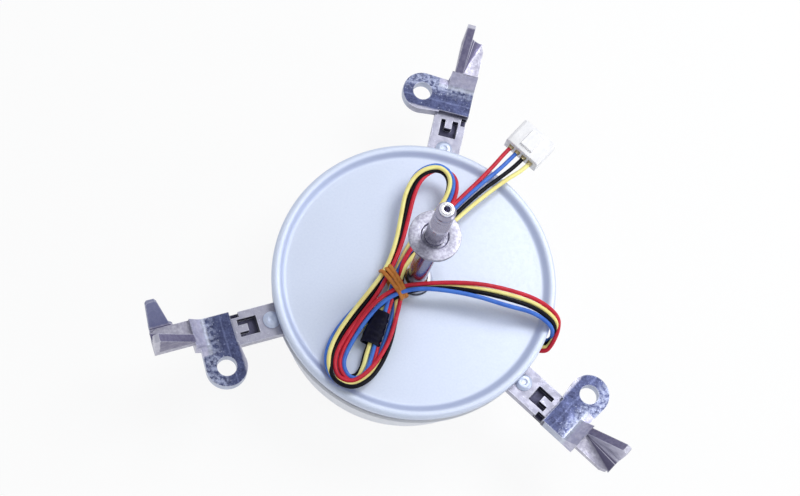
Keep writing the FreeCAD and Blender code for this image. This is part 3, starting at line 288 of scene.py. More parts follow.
def lathe_group():
    """Turning lines round the shaft axis: one-dimensional noise of radius plus level."""
    group, given, out = new_group("lathe_marks", {"Spacing": 0.0003}, ["Mask"])
    x, y, z = separated(group, object_place(group))
    travel = math_node(group, "ADD", axis_distance(group, x, y), z)
    scale = math_node(group, "DIVIDE", 1.0, given.outputs["Spacing"])
    group.links.new(noise(group, travel, scale, 5.0, 0.7, "1D"), out.inputs["Mask"])
    return group


def edge_group():
    """Worn edges: where the normal of a small rounding leaves the true normal."""
    group, given, out = new_group("edge_wear", {"Width": 0.0004}, ["Mask"])
    rounding = group.nodes.new("ShaderNodeBevel")
    rounding.samples = 4
    group.links.new(given.outputs["Width"], rounding.inputs["Radius"])
    true_normal = group.nodes.new("ShaderNodeNewGeometry")
    product = group.nodes.new("ShaderNodeVectorMath")
    product.operation = "DOT_PRODUCT"
    group.links.new(rounding.outputs[0], product.inputs[0])
    group.links.new(true_normal.outputs["Normal"], product.inputs[1])
    turned_away = math_node(group, "SUBTRACT", 1.0, product.outputs["Value"])
    group.links.new(stepped(group, turned_away, 0.01, 0.2), out.inputs["Mask"])
    return group


def leg_group():
    """Place on the nearest leg, in metres: across it, out along it and up.
    The angle round the shaft is wrapped to the 120 degrees about the first leg."""
    group, given, out = new_group("leg_place", {"Waver": 0.0008},
                                  ["Across", "Along", "Level", "Radius"])
    place = object_place(group)
    x, y, z = separated(group, place)
    angle = math_node(group, "WRAP", math_node(group, "ARCTAN2", y, x),
                      math.radians(150), math.radians(30))
    radius = axis_distance(group, x, y)
    shake = math_node(group, "SUBTRACT", noise(group, place, 420.0), 0.5)
    shake = math_node(group, "MULTIPLY", shake, given.outputs["Waver"])
    across = math_node(group, "MULTIPLY", radius, math_node(group, "COSINE", angle))
    along = math_node(group, "MULTIPLY", radius, math_node(group, "SINE", angle))
    group.links.new(math_node(group, "ADD", across, shake), out.inputs["Across"])
    group.links.new(math_node(group, "ADD", along, shake), out.inputs["Along"])
    group.links.new(z, out.inputs["Level"])
    group.links.new(radius, out.inputs["Radius"])
    return group


GRAIN = grain_group()
LATHE = lathe_group()
EDGES = edge_group()
LEG_PLACE = leg_group()

# Every finish by its name.
MATERIALS = {}


class Finish:
    """A material whose colour, roughness and relief are built up step by step. It is kept
    in MATERIALS under its name."""

    def __init__(self, name, colour, roughness, metallic=0.0, **more):
        MATERIALS[name] = bpy.data.materials.new(name)
        MATERIALS[name].use_nodes = True
        self.tree = MATERIALS[name].node_tree
        self.shader = self.tree.nodes["Principled BSDF"]
        self.shader.inputs["Base Color"].default_value = colour
        self.shader.inputs["Roughness"].default_value = roughness
        self.shader.inputs["Metallic"].default_value = metallic
        for label, value in more.items():
            self.shader.inputs[label.replace("_", " ")].default_value = value

    def effect(self, group, output="Mask", **inputs):
        """The output of a shared effect with its own values."""
        node = self.tree.nodes.new("ShaderNodeGroup")
        node.node_tree = group
        for label, value in inputs.items():
            node.inputs[label].default_value = value
        return node.outputs[output]

    def between(self, value, low, high, blur=0.4):
        """1 where a value in metres lies between two in millimetres, soft at the ends."""
        rise = stepped(self.tree, value, (low - blur) * MM, (low + blur) * MM)
        fall = stepped(self.tree, value, (high + blur) * MM, (high - blur) * MM)
        return math_node(self.tree, "MULTIPLY", rise, fall)

    def both(self, *masks):
        """The masks multiplied together."""
        product = masks[0]
        for mask in masks[1:]:
            product = math_node(self.tree, "MULTIPLY", product, mask)
        return product

    def facing_side(self):
        """1 on upright faces, 0 on level ones, from the height of the normal."""
        normal = self.tree.nodes.new("ShaderNodeNewGeometry").outputs["Normal"]
        slant = math_node(self.tree, "ABSOLUTE", separated(self.tree, normal)[2])
        return stepped(self.tree, slant, 0.6, 0.3)

    def flecks(self, size, share):
        """Small separate specks of a size in metres; a higher share leaves more of them."""
        fleck = noise(self.tree, object_place(self.tree), 1.0 / size, 2.0, 0.5)
        return stepped(self.tree, fleck, 0.72 - share, 0.8 - share)

    def tint(self, mask, colour, strength):
        """Mixes another colour into the base where the mask is high."""
        mix = self.tree.nodes.new("ShaderNodeMix")
        mix.data_type = "RGBA"
        base = self.shader.inputs["Base Color"]
        if base.is_linked:
            self.tree.links.new(base.links[0].from_socket, mix.inputs[6])
        else:
            mix.inputs[6].default_value = base.default_value
        mix.inputs[7].default_value = colour
        share = math_node(self.tree, "MULTIPLY", mask, strength)
        self.tree.links.new(share, mix.inputs[0])
        self.tree.links.new(mix.outputs[2], base)

    def mottle(self, size, colour, strength, mask=None):
        """Tints with speckle of a size in metres, only where the mask is high if it has one."""
        speckle = self.effect(GRAIN, Size=size)
        self.tint(speckle if mask is None else self.both(mask, speckle), colour, strength)

    def polish(self, mask, low, high):
        """Roughness from low to high along the mask."""
        span = math_node(self.tree, "MULTIPLY", mask, high - low)
        self.tree.links.new(math_node(self.tree, "ADD", span, low),
                            self.shader.inputs["Roughness"])

    def relief(self, height, depth):
        """Bump from a height mask, depth in metres."""
        bump = self.tree.nodes.new("ShaderNodeBump")
        bump.inputs["Strength"].default_value = 1.0
        bump.inputs["Distance"].default_value = depth
        self.tree.links.new(height, bump.inputs["Height"])
        self.tree.links.new(bump.outputs[0], self.shader.inputs["Normal"])


def sheet_metal(name, colour, spot_colour, roughness):
    """Painted or plated sheet: even colour, a very fine speckle, paler worn edges."""
    finish = Finish(name, colour, roughness, 0.25)
    finish.mottle(0.0007, spot_colour, 0.3)
    finish.tint(finish.flecks(0.0009, 0.06), tone(180, 190, 218), 0.12)
    finish.tint(finish.effect(EDGES, Width=0.0005), tone(244, 247, 254), 0.35)
    finish.polish(finish.effect(GRAIN, Size=0.0012), roughness - 0.02, roughness + 0.03)
    finish.relief(finish.effect(GRAIN, "Height", Size=0.0006), 0.000005)
    return finish


RIM_SLOPE = (38.9, 40.7)    # radii of the slope between the cover's face and its rim


def cover_metal():
    """Pale blue cover; the slope between face and rim is tinted deeper blue as painted shade."""
    finish = sheet_metal("cover_metal", tone(211, 221, 243), tone(221, 230, 249), 0.42)
    radius = finish.effect(LEG_PLACE, "Radius")
    # Painted shade: the slope between face and rim is darkened to stand for the darker surroundings
    # it reflects.
    finish.tint(finish.between(radius, *RIM_SLOPE, 0.5), tone(158, 172, 214), 0.6)


# Zones of a cast leg, each from one place to another in millimetres.
# Along the leg, counted from the shaft's axis:
ARM_RUN = (-80.0, 55.9)
STEP_RUN = (50.0, 57.0)
POCKET_RUN = (48.0, 56.3)
CORNER_RUN = (53.0, 56.3)
SCRATCH_RUN = (59.0, 59.4)
FLECKED_RUN = (60.5, 70.0)
RUBBED_RUN = (62.0, 70.0)
FOOT_RUN = (63.9, 64.9)
RAMP_RUN = (65.0, 68.6)
PLATE_RUN = (68.3, 90.0)
FIN_TIP_RUN = (78.9, 90.0)
# Across the leg, from the lug's side to the other:
FIN_WIDTH = (-9.0, 0.22)
FLARE_WIDTH = (0.25, 5.4)
WING_WIDTH = (5.6, 20.0)
RAMP_WIDTH = (-6.0, 20.0)
STEP_WIDTH = (-5.4, 20.0)
POCKET_WIDTH = (-4.5, 4.5)
CORNER_WIDTH = (3.2, 8.0)
# Up along the shaft:
POCKET_DEPTH = (-9.0, -2.6)
CORNER_DEPTH = (-9.0, -2.3)
FLARE_HEIGHT = (2.66, 40.0)
FIN_HEIGHT = (3.2, 40.0)
# The painted shade and highlight streaks of a flare, which stand for reflections on its cone, fan
# out from this line; their limits are angles in degrees.
FAN_ACROSS = 0.1
FAN_LEVEL = 2.4
LOW_PAINTED_GLINT = (40, 47)
HIGH_PAINTED_GLINT = (70, 120)
NOSE_RADII = (-1.0, 7.0)


def cast_metal():
    """Die cast legs: dark slate blocks with bright flecks, paler arms and end plates, grey fins and
    rubbed edges.
    Painted light: pale upright sides, a dark step wall, a pale ramp with a painted highlight at its
    foot, painted shade with highlight streaks on the flares, painted highlights on the fin tips and
    the hub nose, and painted shade in the pockets and corner notches."""
    finish = Finish("cast_metal", tone(54, 59, 92), 0.4, 0.7)
    along = finish.effect(LEG_PLACE, "Along")
    across = finish.effect(LEG_PLACE, "Across")
    level = finish.effect(LEG_PLACE, "Level")
    side = finish.facing_side()
    finish.mottle(0.0024, tone(76, 84, 124), 0.7)
    finish.mottle(0.0007, tone(98, 106, 148), 0.4)
    finish.mottle(0.0011, tone(176, 184, 214), 0.75, finish.between(along, *RUBBED_RUN, 1.8))
    finish.tint(finish.flecks(0.0007, 0.06), tone(206, 212, 234), 0.45)
    flecked = finish.both(finish.between(along, *FLECKED_RUN, 1.0), finish.flecks(0.0006, 0.09))
    finish.tint(flecked, tone(222, 227, 242), 0.5)
    finish.tint(finish.between(along, *SCRATCH_RUN, 0.3), tone(140, 150, 194), 0.3)
    # Painted light: upright faces are tinted pale to stand for the light they catch from the floor.
    finish.tint(side, tone(200, 207, 226), 0.75)
    # Painted shade: the upright wall of the step at the block's inner end is darkened.
    step = finish.both(side, finish.between(along, *STEP_RUN, 0.1),
                       finish.between(across, *STEP_WIDTH, 0.3))
    finish.tint(step, tone(62, 58, 84), 0.9)
    arm = finish.between(along, *ARM_RUN, 0.5)
    finish.tint(arm, tone(176, 176, 192), 0.93)
    finish.mottle(0.0018, tone(150, 150, 172), 0.6, arm)
    finish.tint(finish.both(arm, finish.flecks(0.0009, 0.1)), tone(222, 224, 234), 0.4)
    ramp_width = finish.between(across, *RAMP_WIDTH, 0.2)
    ramp = finish.both(finish.between(along, *RAMP_RUN), ramp_width)
    # Painted light: the ramp is tinted pale to stand for light its slope catches; the speckle on it
    # is its own grain.
    finish.tint(ramp, tone(206, 204, 226), 0.85)
    finish.mottle(0.0012, tone(150, 150, 186), 0.5, ramp)
    # Painted highlight along the concave foot of the ramp.
    foot_highlight = finish.both(finish.between(along, *FOOT_RUN), ramp_width)
    finish.tint(foot_highlight, tone(226, 231, 246), 0.5)
    plate = finish.between(along, *PLATE_RUN, 0.2)
    finish.tint(plate, tone(178, 176, 192), 0.93)
    finish.mottle(0.0016, tone(216, 216, 228), 0.45, plate)
    finish.mottle(0.0009, tone(140, 138, 164), 0.45, plate)
    true_across = finish.effect(LEG_PLACE, "Across", Waver=0.0)
    above = math_node(finish.tree, "SUBTRACT", level, FAN_LEVEL * MM)
    aside = math_node(finish.tree, "SUBTRACT", true_across, FAN_ACROSS * MM)
    fan = math_node(finish.tree, "DEGREES", math_node(finish.tree, "ARCTAN2", above, aside))
    fan = math_node(finish.tree, "MULTIPLY", fan, MM)
    flare = finish.both(plate, finish.between(level, *FLARE_HEIGHT, 0.05),
                        finish.between(true_across, *FLARE_WIDTH, 0.05))
    # Painted shade on the cone of the flare, with painted highlight streaks fanning out over it.
    finish.tint(flare, tone(98, 94, 124), 0.95)
    finish.tint(finish.both(flare, finish.between(fan, *LOW_PAINTED_GLINT, 3)), tone(226, 224, 240), 0.85)
    finish.tint(finish.both(flare, finish.between(fan, *HIGH_PAINTED_GLINT, 12)), tone(222, 221, 240),
                0.85)
    fin = finish.both(plate, finish.between(level, *FIN_HEIGHT, 0.3),
                      finish.between(true_across, *FIN_WIDTH, 0.05))
    finish.tint(fin, tone(124, 120, 150), 0.9)
    finish.mottle(0.001, tone(96, 92, 126), 0.5, fin)
    wing = finish.both(plate, finish.between(across, *WING_WIDTH, 0.3))
    finish.tint(wing, tone(112, 118, 158), 0.8)
    # Painted highlight on the rounded top end of the fin.
    fin_tip_highlight = finish.both(fin, finish.between(along, *FIN_TIP_RUN, 0.2))
    finish.tint(fin_tip_highlight, tone(226, 226, 238), 0.6)
    # Painted shade deep in the pockets of the arms.
    pocket_shade = finish.both(finish.between(along, *POCKET_RUN, 0.2),
                         finish.between(level, *POCKET_DEPTH, 0.6),
                         finish.between(across, *POCKET_WIDTH, 0.2))
    finish.tint(pocket_shade, tone(44, 43, 70), 0.93)
    # Painted shade in the corner notch beside the pocket.
    corner = finish.both(finish.between(along, *CORNER_RUN, 0.2),
                         finish.between(level, *CORNER_DEPTH, 0.3),
                         finish.between(across, *CORNER_WIDTH, 0.2))
    finish.tint(corner, tone(36, 35, 60), 0.93)
    # Painted highlight on the hub nose round the shaft.
    nose_highlight = finish.between(finish.effect(LEG_PLACE, "Radius"), *NOSE_RADII)
    finish.tint(nose_highlight, tone(226, 229, 240), 0.85)
    finish.tint(finish.effect(EDGES, Width=0.0004), tone(236, 239, 250), 0.5)
    finish.polish(finish.effect(GRAIN, Size=0.0022), 0.32, 0.5)
    finish.relief(finish.effect(GRAIN, "Height", Size=0.0011), 0.00006)


SEAT_SPAN = (41.0, 50.0)
TIP_SPAN = (61.2, 70.0)


def turned_steel(name, colour, roughness, grain):
    """Bright turned steel: fine lines round the axis, speckle, a seat tinted pale as a painted
    highlight, and a pale tip.
    """
    finish = Finish(name, colour, roughness, 0.95)
    finish.tint(finish.effect(LATHE, Spacing=0.0006), tone(112, 112, 136), 0.45)
    finish.mottle(0.0008, tone(122, 120, 142), grain)
    level = finish.effect(LEG_PLACE, "Level")
    # Painted highlight: the seat above the flange is tinted pale.
    finish.tint(finish.between(level, *SEAT_SPAN, 0.6), tone(236, 232, 244), 0.75)
    finish.tint(finish.between(level, *TIP_SPAN, 0.3), tone(244, 244, 252), 0.85)
    finish.tint(finish.flecks(0.0004, 0.06), tone(232, 232, 242), 0.25)
    finish.tint(finish.effect(EDGES, Width=0.0003), tone(250, 250, 255), 0.75)
    finish.polish(finish.effect(LATHE, Spacing=0.0007), roughness - 0.06, roughness + 0.1)
    finish.relief(finish.effect(LATHE, Spacing=0.00025), 0.00002)


def insulation(name, colour, shade, specular=0.3):
    """Wire insulation: satin plastic, a little uneven in colour and gloss."""
    finish = Finish(name, colour, 0.38, 0.0, Specular_IOR_Level=specular)
    finish.mottle(0.004, shade, 0.5)
    finish.polish(finish.effect(GRAIN, Size=0.0015), 0.3, 0.46)
    finish.relief(finish.effect(GRAIN, "Height", Size=0.0009), 0.00003)


def plain_stuff(name, colour, shade, roughness, metallic=0.0, size=0.0015, depth=0.00004,
                specular=0.5):
    """A finish of one colour with a speckle of a second and a light grain."""
    finish = Finish(name, colour, roughness, metallic, Specular_IOR_Level=specular)
    finish.mottle(size, shade, 0.6)
    finish.polish(finish.effect(GRAIN, Size=size * 1.7), roughness - 0.06, roughness + 0.08)
    finish.relief(finish.effect(GRAIN, "Height", Size=size), depth)


def layered(name, colour, shade, roughness, metallic, spacing):
    """Stacked sheets or wound wire: fine lines that repeat along the axis."""
    finish = Finish(name, colour, roughness, metallic)
    height = separated(finish.tree, object_place(finish.tree))[2]
    phase = math_node(finish.tree, "MULTIPLY", height, FULL_TURN / spacing)
    wave = math_node(finish.tree, "SINE", phase)
    line = stepped(finish.tree, wave, -0.9, 0.3)
    finish.tint(line, shade, 0.8)
    finish.mottle(0.003, shade, 0.3)
    finish.relief(line, spacing * 0.25)


# The finishes of all pieces.
cast_metal()
cover_metal()
sheet_metal("can_metal", tone(236, 239, 248), tone(243, 245, 251), 0.38)
plain_stuff("rivet_metal", tone(190, 201, 228), tone(210, 218, 238), 0.36, 0.5)
turned_steel("turned_steel", tone(168, 165, 184), 0.13, 0.2)
turned_steel("flange_steel", tone(192, 193, 206), 0.34, 0.75)
plain_stuff("sintered_bronze", tone(176, 138, 92), tone(120, 90, 58), 0.5, 0.9, 0.0006)
layered("rotor_iron", tone(120, 122, 128), tone(70, 72, 78), 0.45, 0.9, 0.0005)
plain_stuff("washer_plastic", tone(52, 52, 56), tone(36, 36, 40), 0.5)
plain_stuff("magnet_ferrite", tone(58, 58, 62), tone(38, 38, 42), 0.6, 0.3)
plain_stuff("white_plastic", tone(236, 236, 230), tone(222, 222, 214), 0.45)
layered("enamelled_copper", tone(196, 116, 58), tone(110, 52, 22), 0.32, 0.8, 0.0006)
plain_stuff("board_laminate", tone(34, 96, 52), tone(24, 74, 40), 0.35)
plain_stuff("screw_steel", tone(190, 192, 198), tone(150, 152, 160), 0.35, 0.95)
plain_stuff("dark_plastic", tone(34, 34, 38), tone(24, 24, 28), 0.5)
plain_stuff("capacitor_can", tone(186, 188, 194), tone(160, 162, 168), 0.3, 0.9)
plain_stuff("grommet_rubber", tone(34, 34, 38), tone(48, 48, 54), 0.7)
insulation("red_insulation", tone(216, 42, 64), tone(178, 24, 50))
insulation("blue_insulation", tone(74, 128, 226), tone(46, 92, 196))
insulation("black_insulation", tone(4, 4, 16), tone(12, 12, 30), 0.14)
insulation("yellow_insulation", tone(255, 249, 164), tone(248, 226, 132))
plain_stuff("amber_rubber", tone(206, 130, 54), tone(166, 94, 34), 0.5, 0.0, 0.0012, 0.00008, 0.35)
plain_stuff("sleeve_plastic", tone(5, 5, 26), tone(14, 14, 42), 0.42, 0.0, 0.002, 0.00015, 0.12)
plain_stuff("connector_plastic", tone(250, 250, 253), tone(242, 243, 248), 0.4)
plain_stuff("terminal_brass", tone(206, 196, 160), tone(170, 150, 104), 0.3, 1.0)


def dress(thing, material):
    """Gives a piece or a node of the part one material."""
    thing.data.materials.clear()
    thing.data.materials.append(MATERIALS[material])


for colour, wire in wires.items():
    dress(wire, colour + "_insulation")


# Surfaces: grids of points worked out as whole arrays.
def grid_faces(rows, columns, wrap_rows=False):
    """Quads of a grid of points whose rows are closed rings; each joins a point to its
    neighbours in both ways."""
    row = np.arange(rows if wrap_rows else rows - 1)[:, None]
    column = np.arange(columns)[None, :]
    next_row = (row + 1) % rows
    next_column = (column + 1) % columns
    corners = [row * columns + column, row * columns + next_column,
               next_row * columns + next_column, next_row * columns + column]
    return np.stack([np.broadcast_to(c, (row.size, column.size)) for c in corners], -1)


def add_piece(name, points, faces, material, body, replaced, sharp=32.0):
    """A mesh from points in millimetres and faces, welded, riding on its body."""
    mesh = bpy.data.meshes.new(name)
    flat = np.asarray(points, float).reshape(-1, 3) * MM
    mesh.from_pydata(flat, [], faces.reshape(-1, faces.shape[-1]).tolist())
    tidy = bmesh.new()
    tidy.from_mesh(mesh)
    bmesh.ops.remove_doubles(tidy, verts=tidy.verts, dist=1e-7)
    bmesh.ops.dissolve_degenerate(tidy, edges=tidy.edges, dist=1e-8)
    tidy.to_mesh(mesh)
    tidy.free()
    return place_mesh(name, mesh, material, body, replaced, sharp)


def place_mesh(name, mesh, material, body, replaced=(), sharp=32.0):
    """An object for a finished mesh, smooth but for edges sharper than the angle."""
    mesh.polygons.foreach_set("use_smooth", np.ones(len(mesh.polygons), bool))
    mesh.set_sharp_from_angle(angle=math.radians(sharp))
    thing = new_object(name, mesh)
    dress(thing, material)
    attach(thing, body)
    if replaced:
        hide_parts(*replaced)
    return thing


def softened(corners, radius, steps=5):
    """The outline with each inner corner replaced by a quadratic curve, which is drawn
    towards the corner and starts and ends at most a radius away from it."""
    corners = np.array(corners, float)
    path = [corners[0]]
    share = np.linspace(0, 1, steps)[:, None]
    for before, corner, after in zip(corners[:-2], corners[1:-1], corners[2:]):
        back, ahead = before - corner, after - corner
        reach = min(radius, 0.45 * np.linalg.norm(back), 0.45 * np.linalg.norm(ahead))
        start = corner + back / np.linalg.norm(back) * reach
        end = corner + ahead / np.linalg.norm(ahead) * reach
        curve = (1 - share) ** 2 * start + 2 * share * (1 - share) * corner + share ** 2 * end
        path.extend(curve)
    path.append(corners[-1])
    return np.array(path)


def turned(profile, angles):
    """Points of a profile of radius and level carried round the shaft axis: the radius
    times the cosine and the sine of each angle, with the level kept."""
    radius, level = np.array(profile).T[:, :, None]
    return np.stack([radius * np.cos(angles), radius * np.sin(angles),
                     level + 0 * angles], -1)


def even_angles(count):
    """Angles that share a full turn evenly."""
    return np.linspace(0, FULL_TURN, count, endpoint=False)


def turned_piece(name, profile, material, body, replaced, count, closed=True):
    """A solid of revolution; the profile runs up outside and down inside."""
    points = turned(profile, even_angles(count))
    faces = grid_faces(len(points), count, wrap_rows=closed)
    return add_piece(name, points, faces, material, body, replaced)


def thicken(sheet):
    """Gives a turned surface the thickness of sheet metal on its inner side."""
    wall = sheet.modifiers.new("wall", "SOLIDIFY")
    wall.thickness = SHEET_WALL * MM
    wall.offset = -1.0


def make_cover():
    """Pressed dish: one turned sheet from the skirt over the rim to the hole, made solid."""
    profile = softened([
        (COVER_RADIUS, SKIRT_LEVEL), (COVER_RADIUS, RIM_LEVEL), (COVER_CREST, RIM_LEVEL),
        (COVER_WALL, FACE_LEVEL), (COVER_WALL - 3.0, FACE_LEVEL)], 1.1, 7)
    floor = [(radius, FACE_LEVEL) for radius in np.linspace(34.0, COVER_HOLE + 0.6, 8)]
    lip = [(COVER_HOLE + 0.25, FACE_LEVEL - 0.05), (COVER_HOLE, FACE_LEVEL - 0.3)]
    cover = turned_piece("front_cover_pressed", np.concatenate([profile, floor, lip]),
                         "cover_metal", "motor_body", ["front_cover"], 288,
                         closed=False)
    thicken(cover)


def make_can():
    """Drawn can: a turned sheet from the middle of its floor to the edge of its flange."""
    flange_low = PLATE_TOP - PLATE_THICKNESS - CAN_SHEET
    profile = softened([
        (0.0, CAN_BOTTOM), (CAN_RADIUS, CAN_BOTTOM), (CAN_RADIUS, flange_low),
        (CAN_FLANGE, flange_low)], 2.6, 8)
    edge = [(CAN_FLANGE, flange_low + 0.3)]
    can = turned_piece("rear_housing_drawn", np.concatenate([profile, edge]), "can_metal",
                       "motor_body", ["rear_housing"], 192, closed=False)
    thicken(can)


def prism(outline, low, high):
    """Corner points of a flat plate, bottom ring then top ring, and its faces."""
    outline = np.array(outline, float)
    count = len(outline)
    points = np.concatenate([np.c_[outline, np.full(count, low)],
                             np.c_[outline, np.full(count, high)]])
    ring = list(range(count))
    sides = [[i, (i + 1) % count, count + (i + 1) % count, count + i] for i in ring]
    return points, [ring[::-1], [count + i for i in ring], *sides]


def turned_about(points, angle):
    """Points turned about the shaft axis."""
    c, s = math.cos(angle), math.sin(angle)
    return points @ np.array([[c, s, 0], [-s, c, 0], [0, 0, 1]])


def make_ears():
    """Three ears of the can under the arms, with clipped corners and rounded edges."""
    outline = [(-4.4, 40.0), (4.4, 40.0), (4.4, 46.2), (3.0, 48.2), (-3.0, 48.2), (-4.4, 46.2)]
    high = PLATE_TOP - PLATE_THICKNESS
    plate, faces = prism(outline, high - CAN_SHEET, high)
    points, all_faces = [], []
    for number, leg in enumerate(LEG_ANGLES):
        points.append(turned_about(plate, leg - math.pi / 2))
        all_faces += [[i + number * len(plate) for i in face] for face in faces]
    mesh = bpy.data.meshes.new("rear_housing_ears")
    mesh.from_pydata(np.concatenate(points) * MM, [], all_faces)
    ears = place_mesh("rear_housing_ears", mesh, "can_metal", "motor_body")
    round_edges(ears, 0.25)


def round_edges(thing, width):
    """Small rounding of the edges sharper than 40 degrees, its width in millimetres."""
    bevel = thing.modifiers.new("rounding", "BEVEL")
    bevel.width = width * MM
    bevel.segments = 2
    bevel.limit_method = "ANGLE"
    bevel.angle_limit = math.radians(40)


def make_rivets():
    """Domed heads above the arms and flat tails below, one turned form at each leg."""
    tail = PLATE_TOP - PLATE_THICKNESS - CAN_SHEET
    profile = softened([
        (0.0, tail - 0.75), (RIVET_HEAD - 0.4, tail - 0.75), (RIVET_HEAD - 0.2, tail),
        (RIVET_SHANK, tail), (RIVET_SHANK, PLATE_TOP), (RIVET_HEAD, PLATE_TOP),
        (RIVET_HEAD, PLATE_TOP + 0.25),
        (RIVET_HEAD - 0.7, PLATE_TOP + 0.75), (1.0, PLATE_TOP + 0.8), (0.8, PLATE_TOP + 0.66),
        (0.0, PLATE_TOP + 0.66)], 0.25, 4)
    one = turned(profile, even_angles(40))
    faces = grid_faces(len(profile), 40).reshape(-1, 4)
    points, all_faces = [], []
    for number, leg in enumerate(LEG_ANGLES):
        centre = np.array([RIVET_CENTRE * math.cos(leg), RIVET_CENTRE * math.sin(leg), 0])
        points.append(one.reshape(-1, 3) + centre)
        all_faces.append(faces + number * one.shape[0] * one.shape[1])
    add_piece("rivets_domed", np.concatenate(points), np.concatenate(all_faces),
              "rivet_metal", "motor_body", ["rivets"])


GROOVE_RADIUS = 2.7
THREAD_LOW = 50.2
THREAD_HIGH = 56.6
THREAD_PITCH = 0.8
THREAD_DEPTH = 0.2
UNDERCUT_RADIUS = 2.45
UNDERCUT_LOW = 57.4
UNDERCUT_HIGH = 58.0
COLLAR_LOW = 58.5
COLLAR_HIGH = 59.6
TIP_RADIUS = 2.1
TIP_LOW = 60.3
DRILL_RADIUS = 0.85
DRILL_DEPTH = 3.0
DRILL_POINT = 0.6


def make_shaft():
    """Turned shaft with a seat, a thread, an undercut and a drilled tip. The thread is a
    cosine wave of the level and the angle, which lowers the radius by up to its depth."""
    stem = softened([
        (0.0, SHAFT_BOTTOM), (SHAFT_RADIUS - 0.5, SHAFT_BOTTOM),
        (SHAFT_RADIUS, SHAFT_BOTTOM + 0.5), (SHAFT_RADIUS, SEAT_START - 1.0),
        (GROOVE_RADIUS, SEAT_START - 0.8), (GROOVE_RADIUS, SEAT_START - 0.2),
        (SHAFT_RADIUS, SEAT_START),
        (SHAFT_RADIUS, THREAD_LOW - 0.3), (THREAD_RADIUS, THREAD_LOW)], 0.15, 3)
    levels = np.arange(THREAD_LOW + 0.05, THREAD_HIGH + 0.2, 0.06)
    thread = np.c_[np.full(len(levels), THREAD_RADIUS), levels]
    tip = softened([
        (THREAD_RADIUS, THREAD_HIGH + 0.3), (UNDERCUT_RADIUS, UNDERCUT_LOW),
        (UNDERCUT_RADIUS, UNDERCUT_HIGH), (THREAD_RADIUS, COLLAR_LOW),
        (THREAD_RADIUS, COLLAR_HIGH), (TIP_RADIUS, TIP_LOW), (TIP_RADIUS, SHAFT_TOP - 0.25),
        (TIP_RADIUS - 0.25, SHAFT_TOP), (DRILL_RADIUS + 0.2, SHAFT_TOP),
        (DRILL_RADIUS, SHAFT_TOP - 0.2), (DRILL_RADIUS, SHAFT_TOP - DRILL_DEPTH),
        (0.0, SHAFT_TOP - DRILL_DEPTH - DRILL_POINT)], 0.22, 4)
    profile = np.concatenate([stem, thread, tip])
    angles = even_angles(96)
    points = turned(profile, angles)
    level = profile[:, 1][:, None]
    fade = np.clip(np.minimum(level - THREAD_LOW, THREAD_HIGH - level) / 0.5, 0, 1)
    wave = 1 - np.cos(FULL_TURN * level / THREAD_PITCH - angles[None, :])
    shrink = 1 - THREAD_DEPTH * fade * wave / 2 / THREAD_RADIUS
    points[:, :, :2] *= shrink[:, :, None]
    faces = grid_faces(len(profile), len(angles))
    add_piece("shaft_turned", points, faces, "turned_steel", "rotor",
              ["shaft"], 28)


FLANGE_THICKNESS = 1.3
HUB_RADIUS = 4.6
HUB_HEIGHT = 1.2
RECESS_RADIUS = 4.0
RECESS_DEPTH = 0.9


def make_flange():
    """Round flange with a hub below and a turned recess round the shaft."""
    disc_low = FLANGE_TOP - FLANGE_THICKNESS
    hub_low = disc_low - HUB_HEIGHT
    recess = FLANGE_TOP - RECESS_DEPTH
    bore = SHAFT_RADIUS + 0.01
    profile = softened([
        (bore, hub_low), (HUB_RADIUS, hub_low), (HUB_RADIUS, disc_low),
        (FLANGE_RADIUS, disc_low), (FLANGE_RADIUS, FLANGE_TOP), (RECESS_RADIUS, FLANGE_TOP),
        (RECESS_RADIUS - 0.1, recess), (bore, recess)], 0.22, 5)
    turned_piece("drive_flange_turned", profile, "flange_steel", "rotor",
                 ["drive_flange"], 128)


def merged_copy(node, name, material, width):
    """A welded copy of a node's mesh with flat faces joined and edges rounded."""
    mesh = nodes[node].data.copy()
    mesh.name = name
    tidy = bmesh.new()
    tidy.from_mesh(mesh)
    bmesh.ops.remove_doubles(tidy, verts=tidy.verts, dist=2e-6)
    bmesh.ops.dissolve_limit(tidy, angle_limit=math.radians(0.5), verts=tidy.verts,
                             edges=tidy.edges)
    tidy.to_mesh(mesh)
    tidy.free()
    thing = place_mesh(name, mesh, material, "motor_body", [node])
    round_edges(thing, width)


def squared_off(wave, power):
    """A cosine or a sine with its size raised to a power and its sign kept."""
    return np.sign(wave) * np.abs(wave) ** power


BAND_CENTRE = np.array([-6.13, -4.12, 5.1])
BAND_ACROSS = np.array([0.72, -0.694, 0.0]) / math.hypot(0.72, 0.694)
BAND_TURNS = 3
BAND_STEPS = 210
BAND_SIDES = 14
BAND_HALF_WIDTH = 5.3
BAND_HALF_HEIGHT = 2.7
BAND_POWER = 2 / 2.25
STRAND_HALF_WIDTH = 0.6
STRAND_HALF_THICKNESS = 0.4
# Numbers of turns, and the strand's place along the bundle and its lift there.
BAND_PLACES = [0, 0.5, 1, 1.5, 2, 2.5, 3], [-1.6, -1.6, -0.1, -0.1, 1.5, 1.5, -1.6]
BAND_LIFTS = [2.5, 2.65, 2.9, 3], [0, 0.4, 0.4, 0]


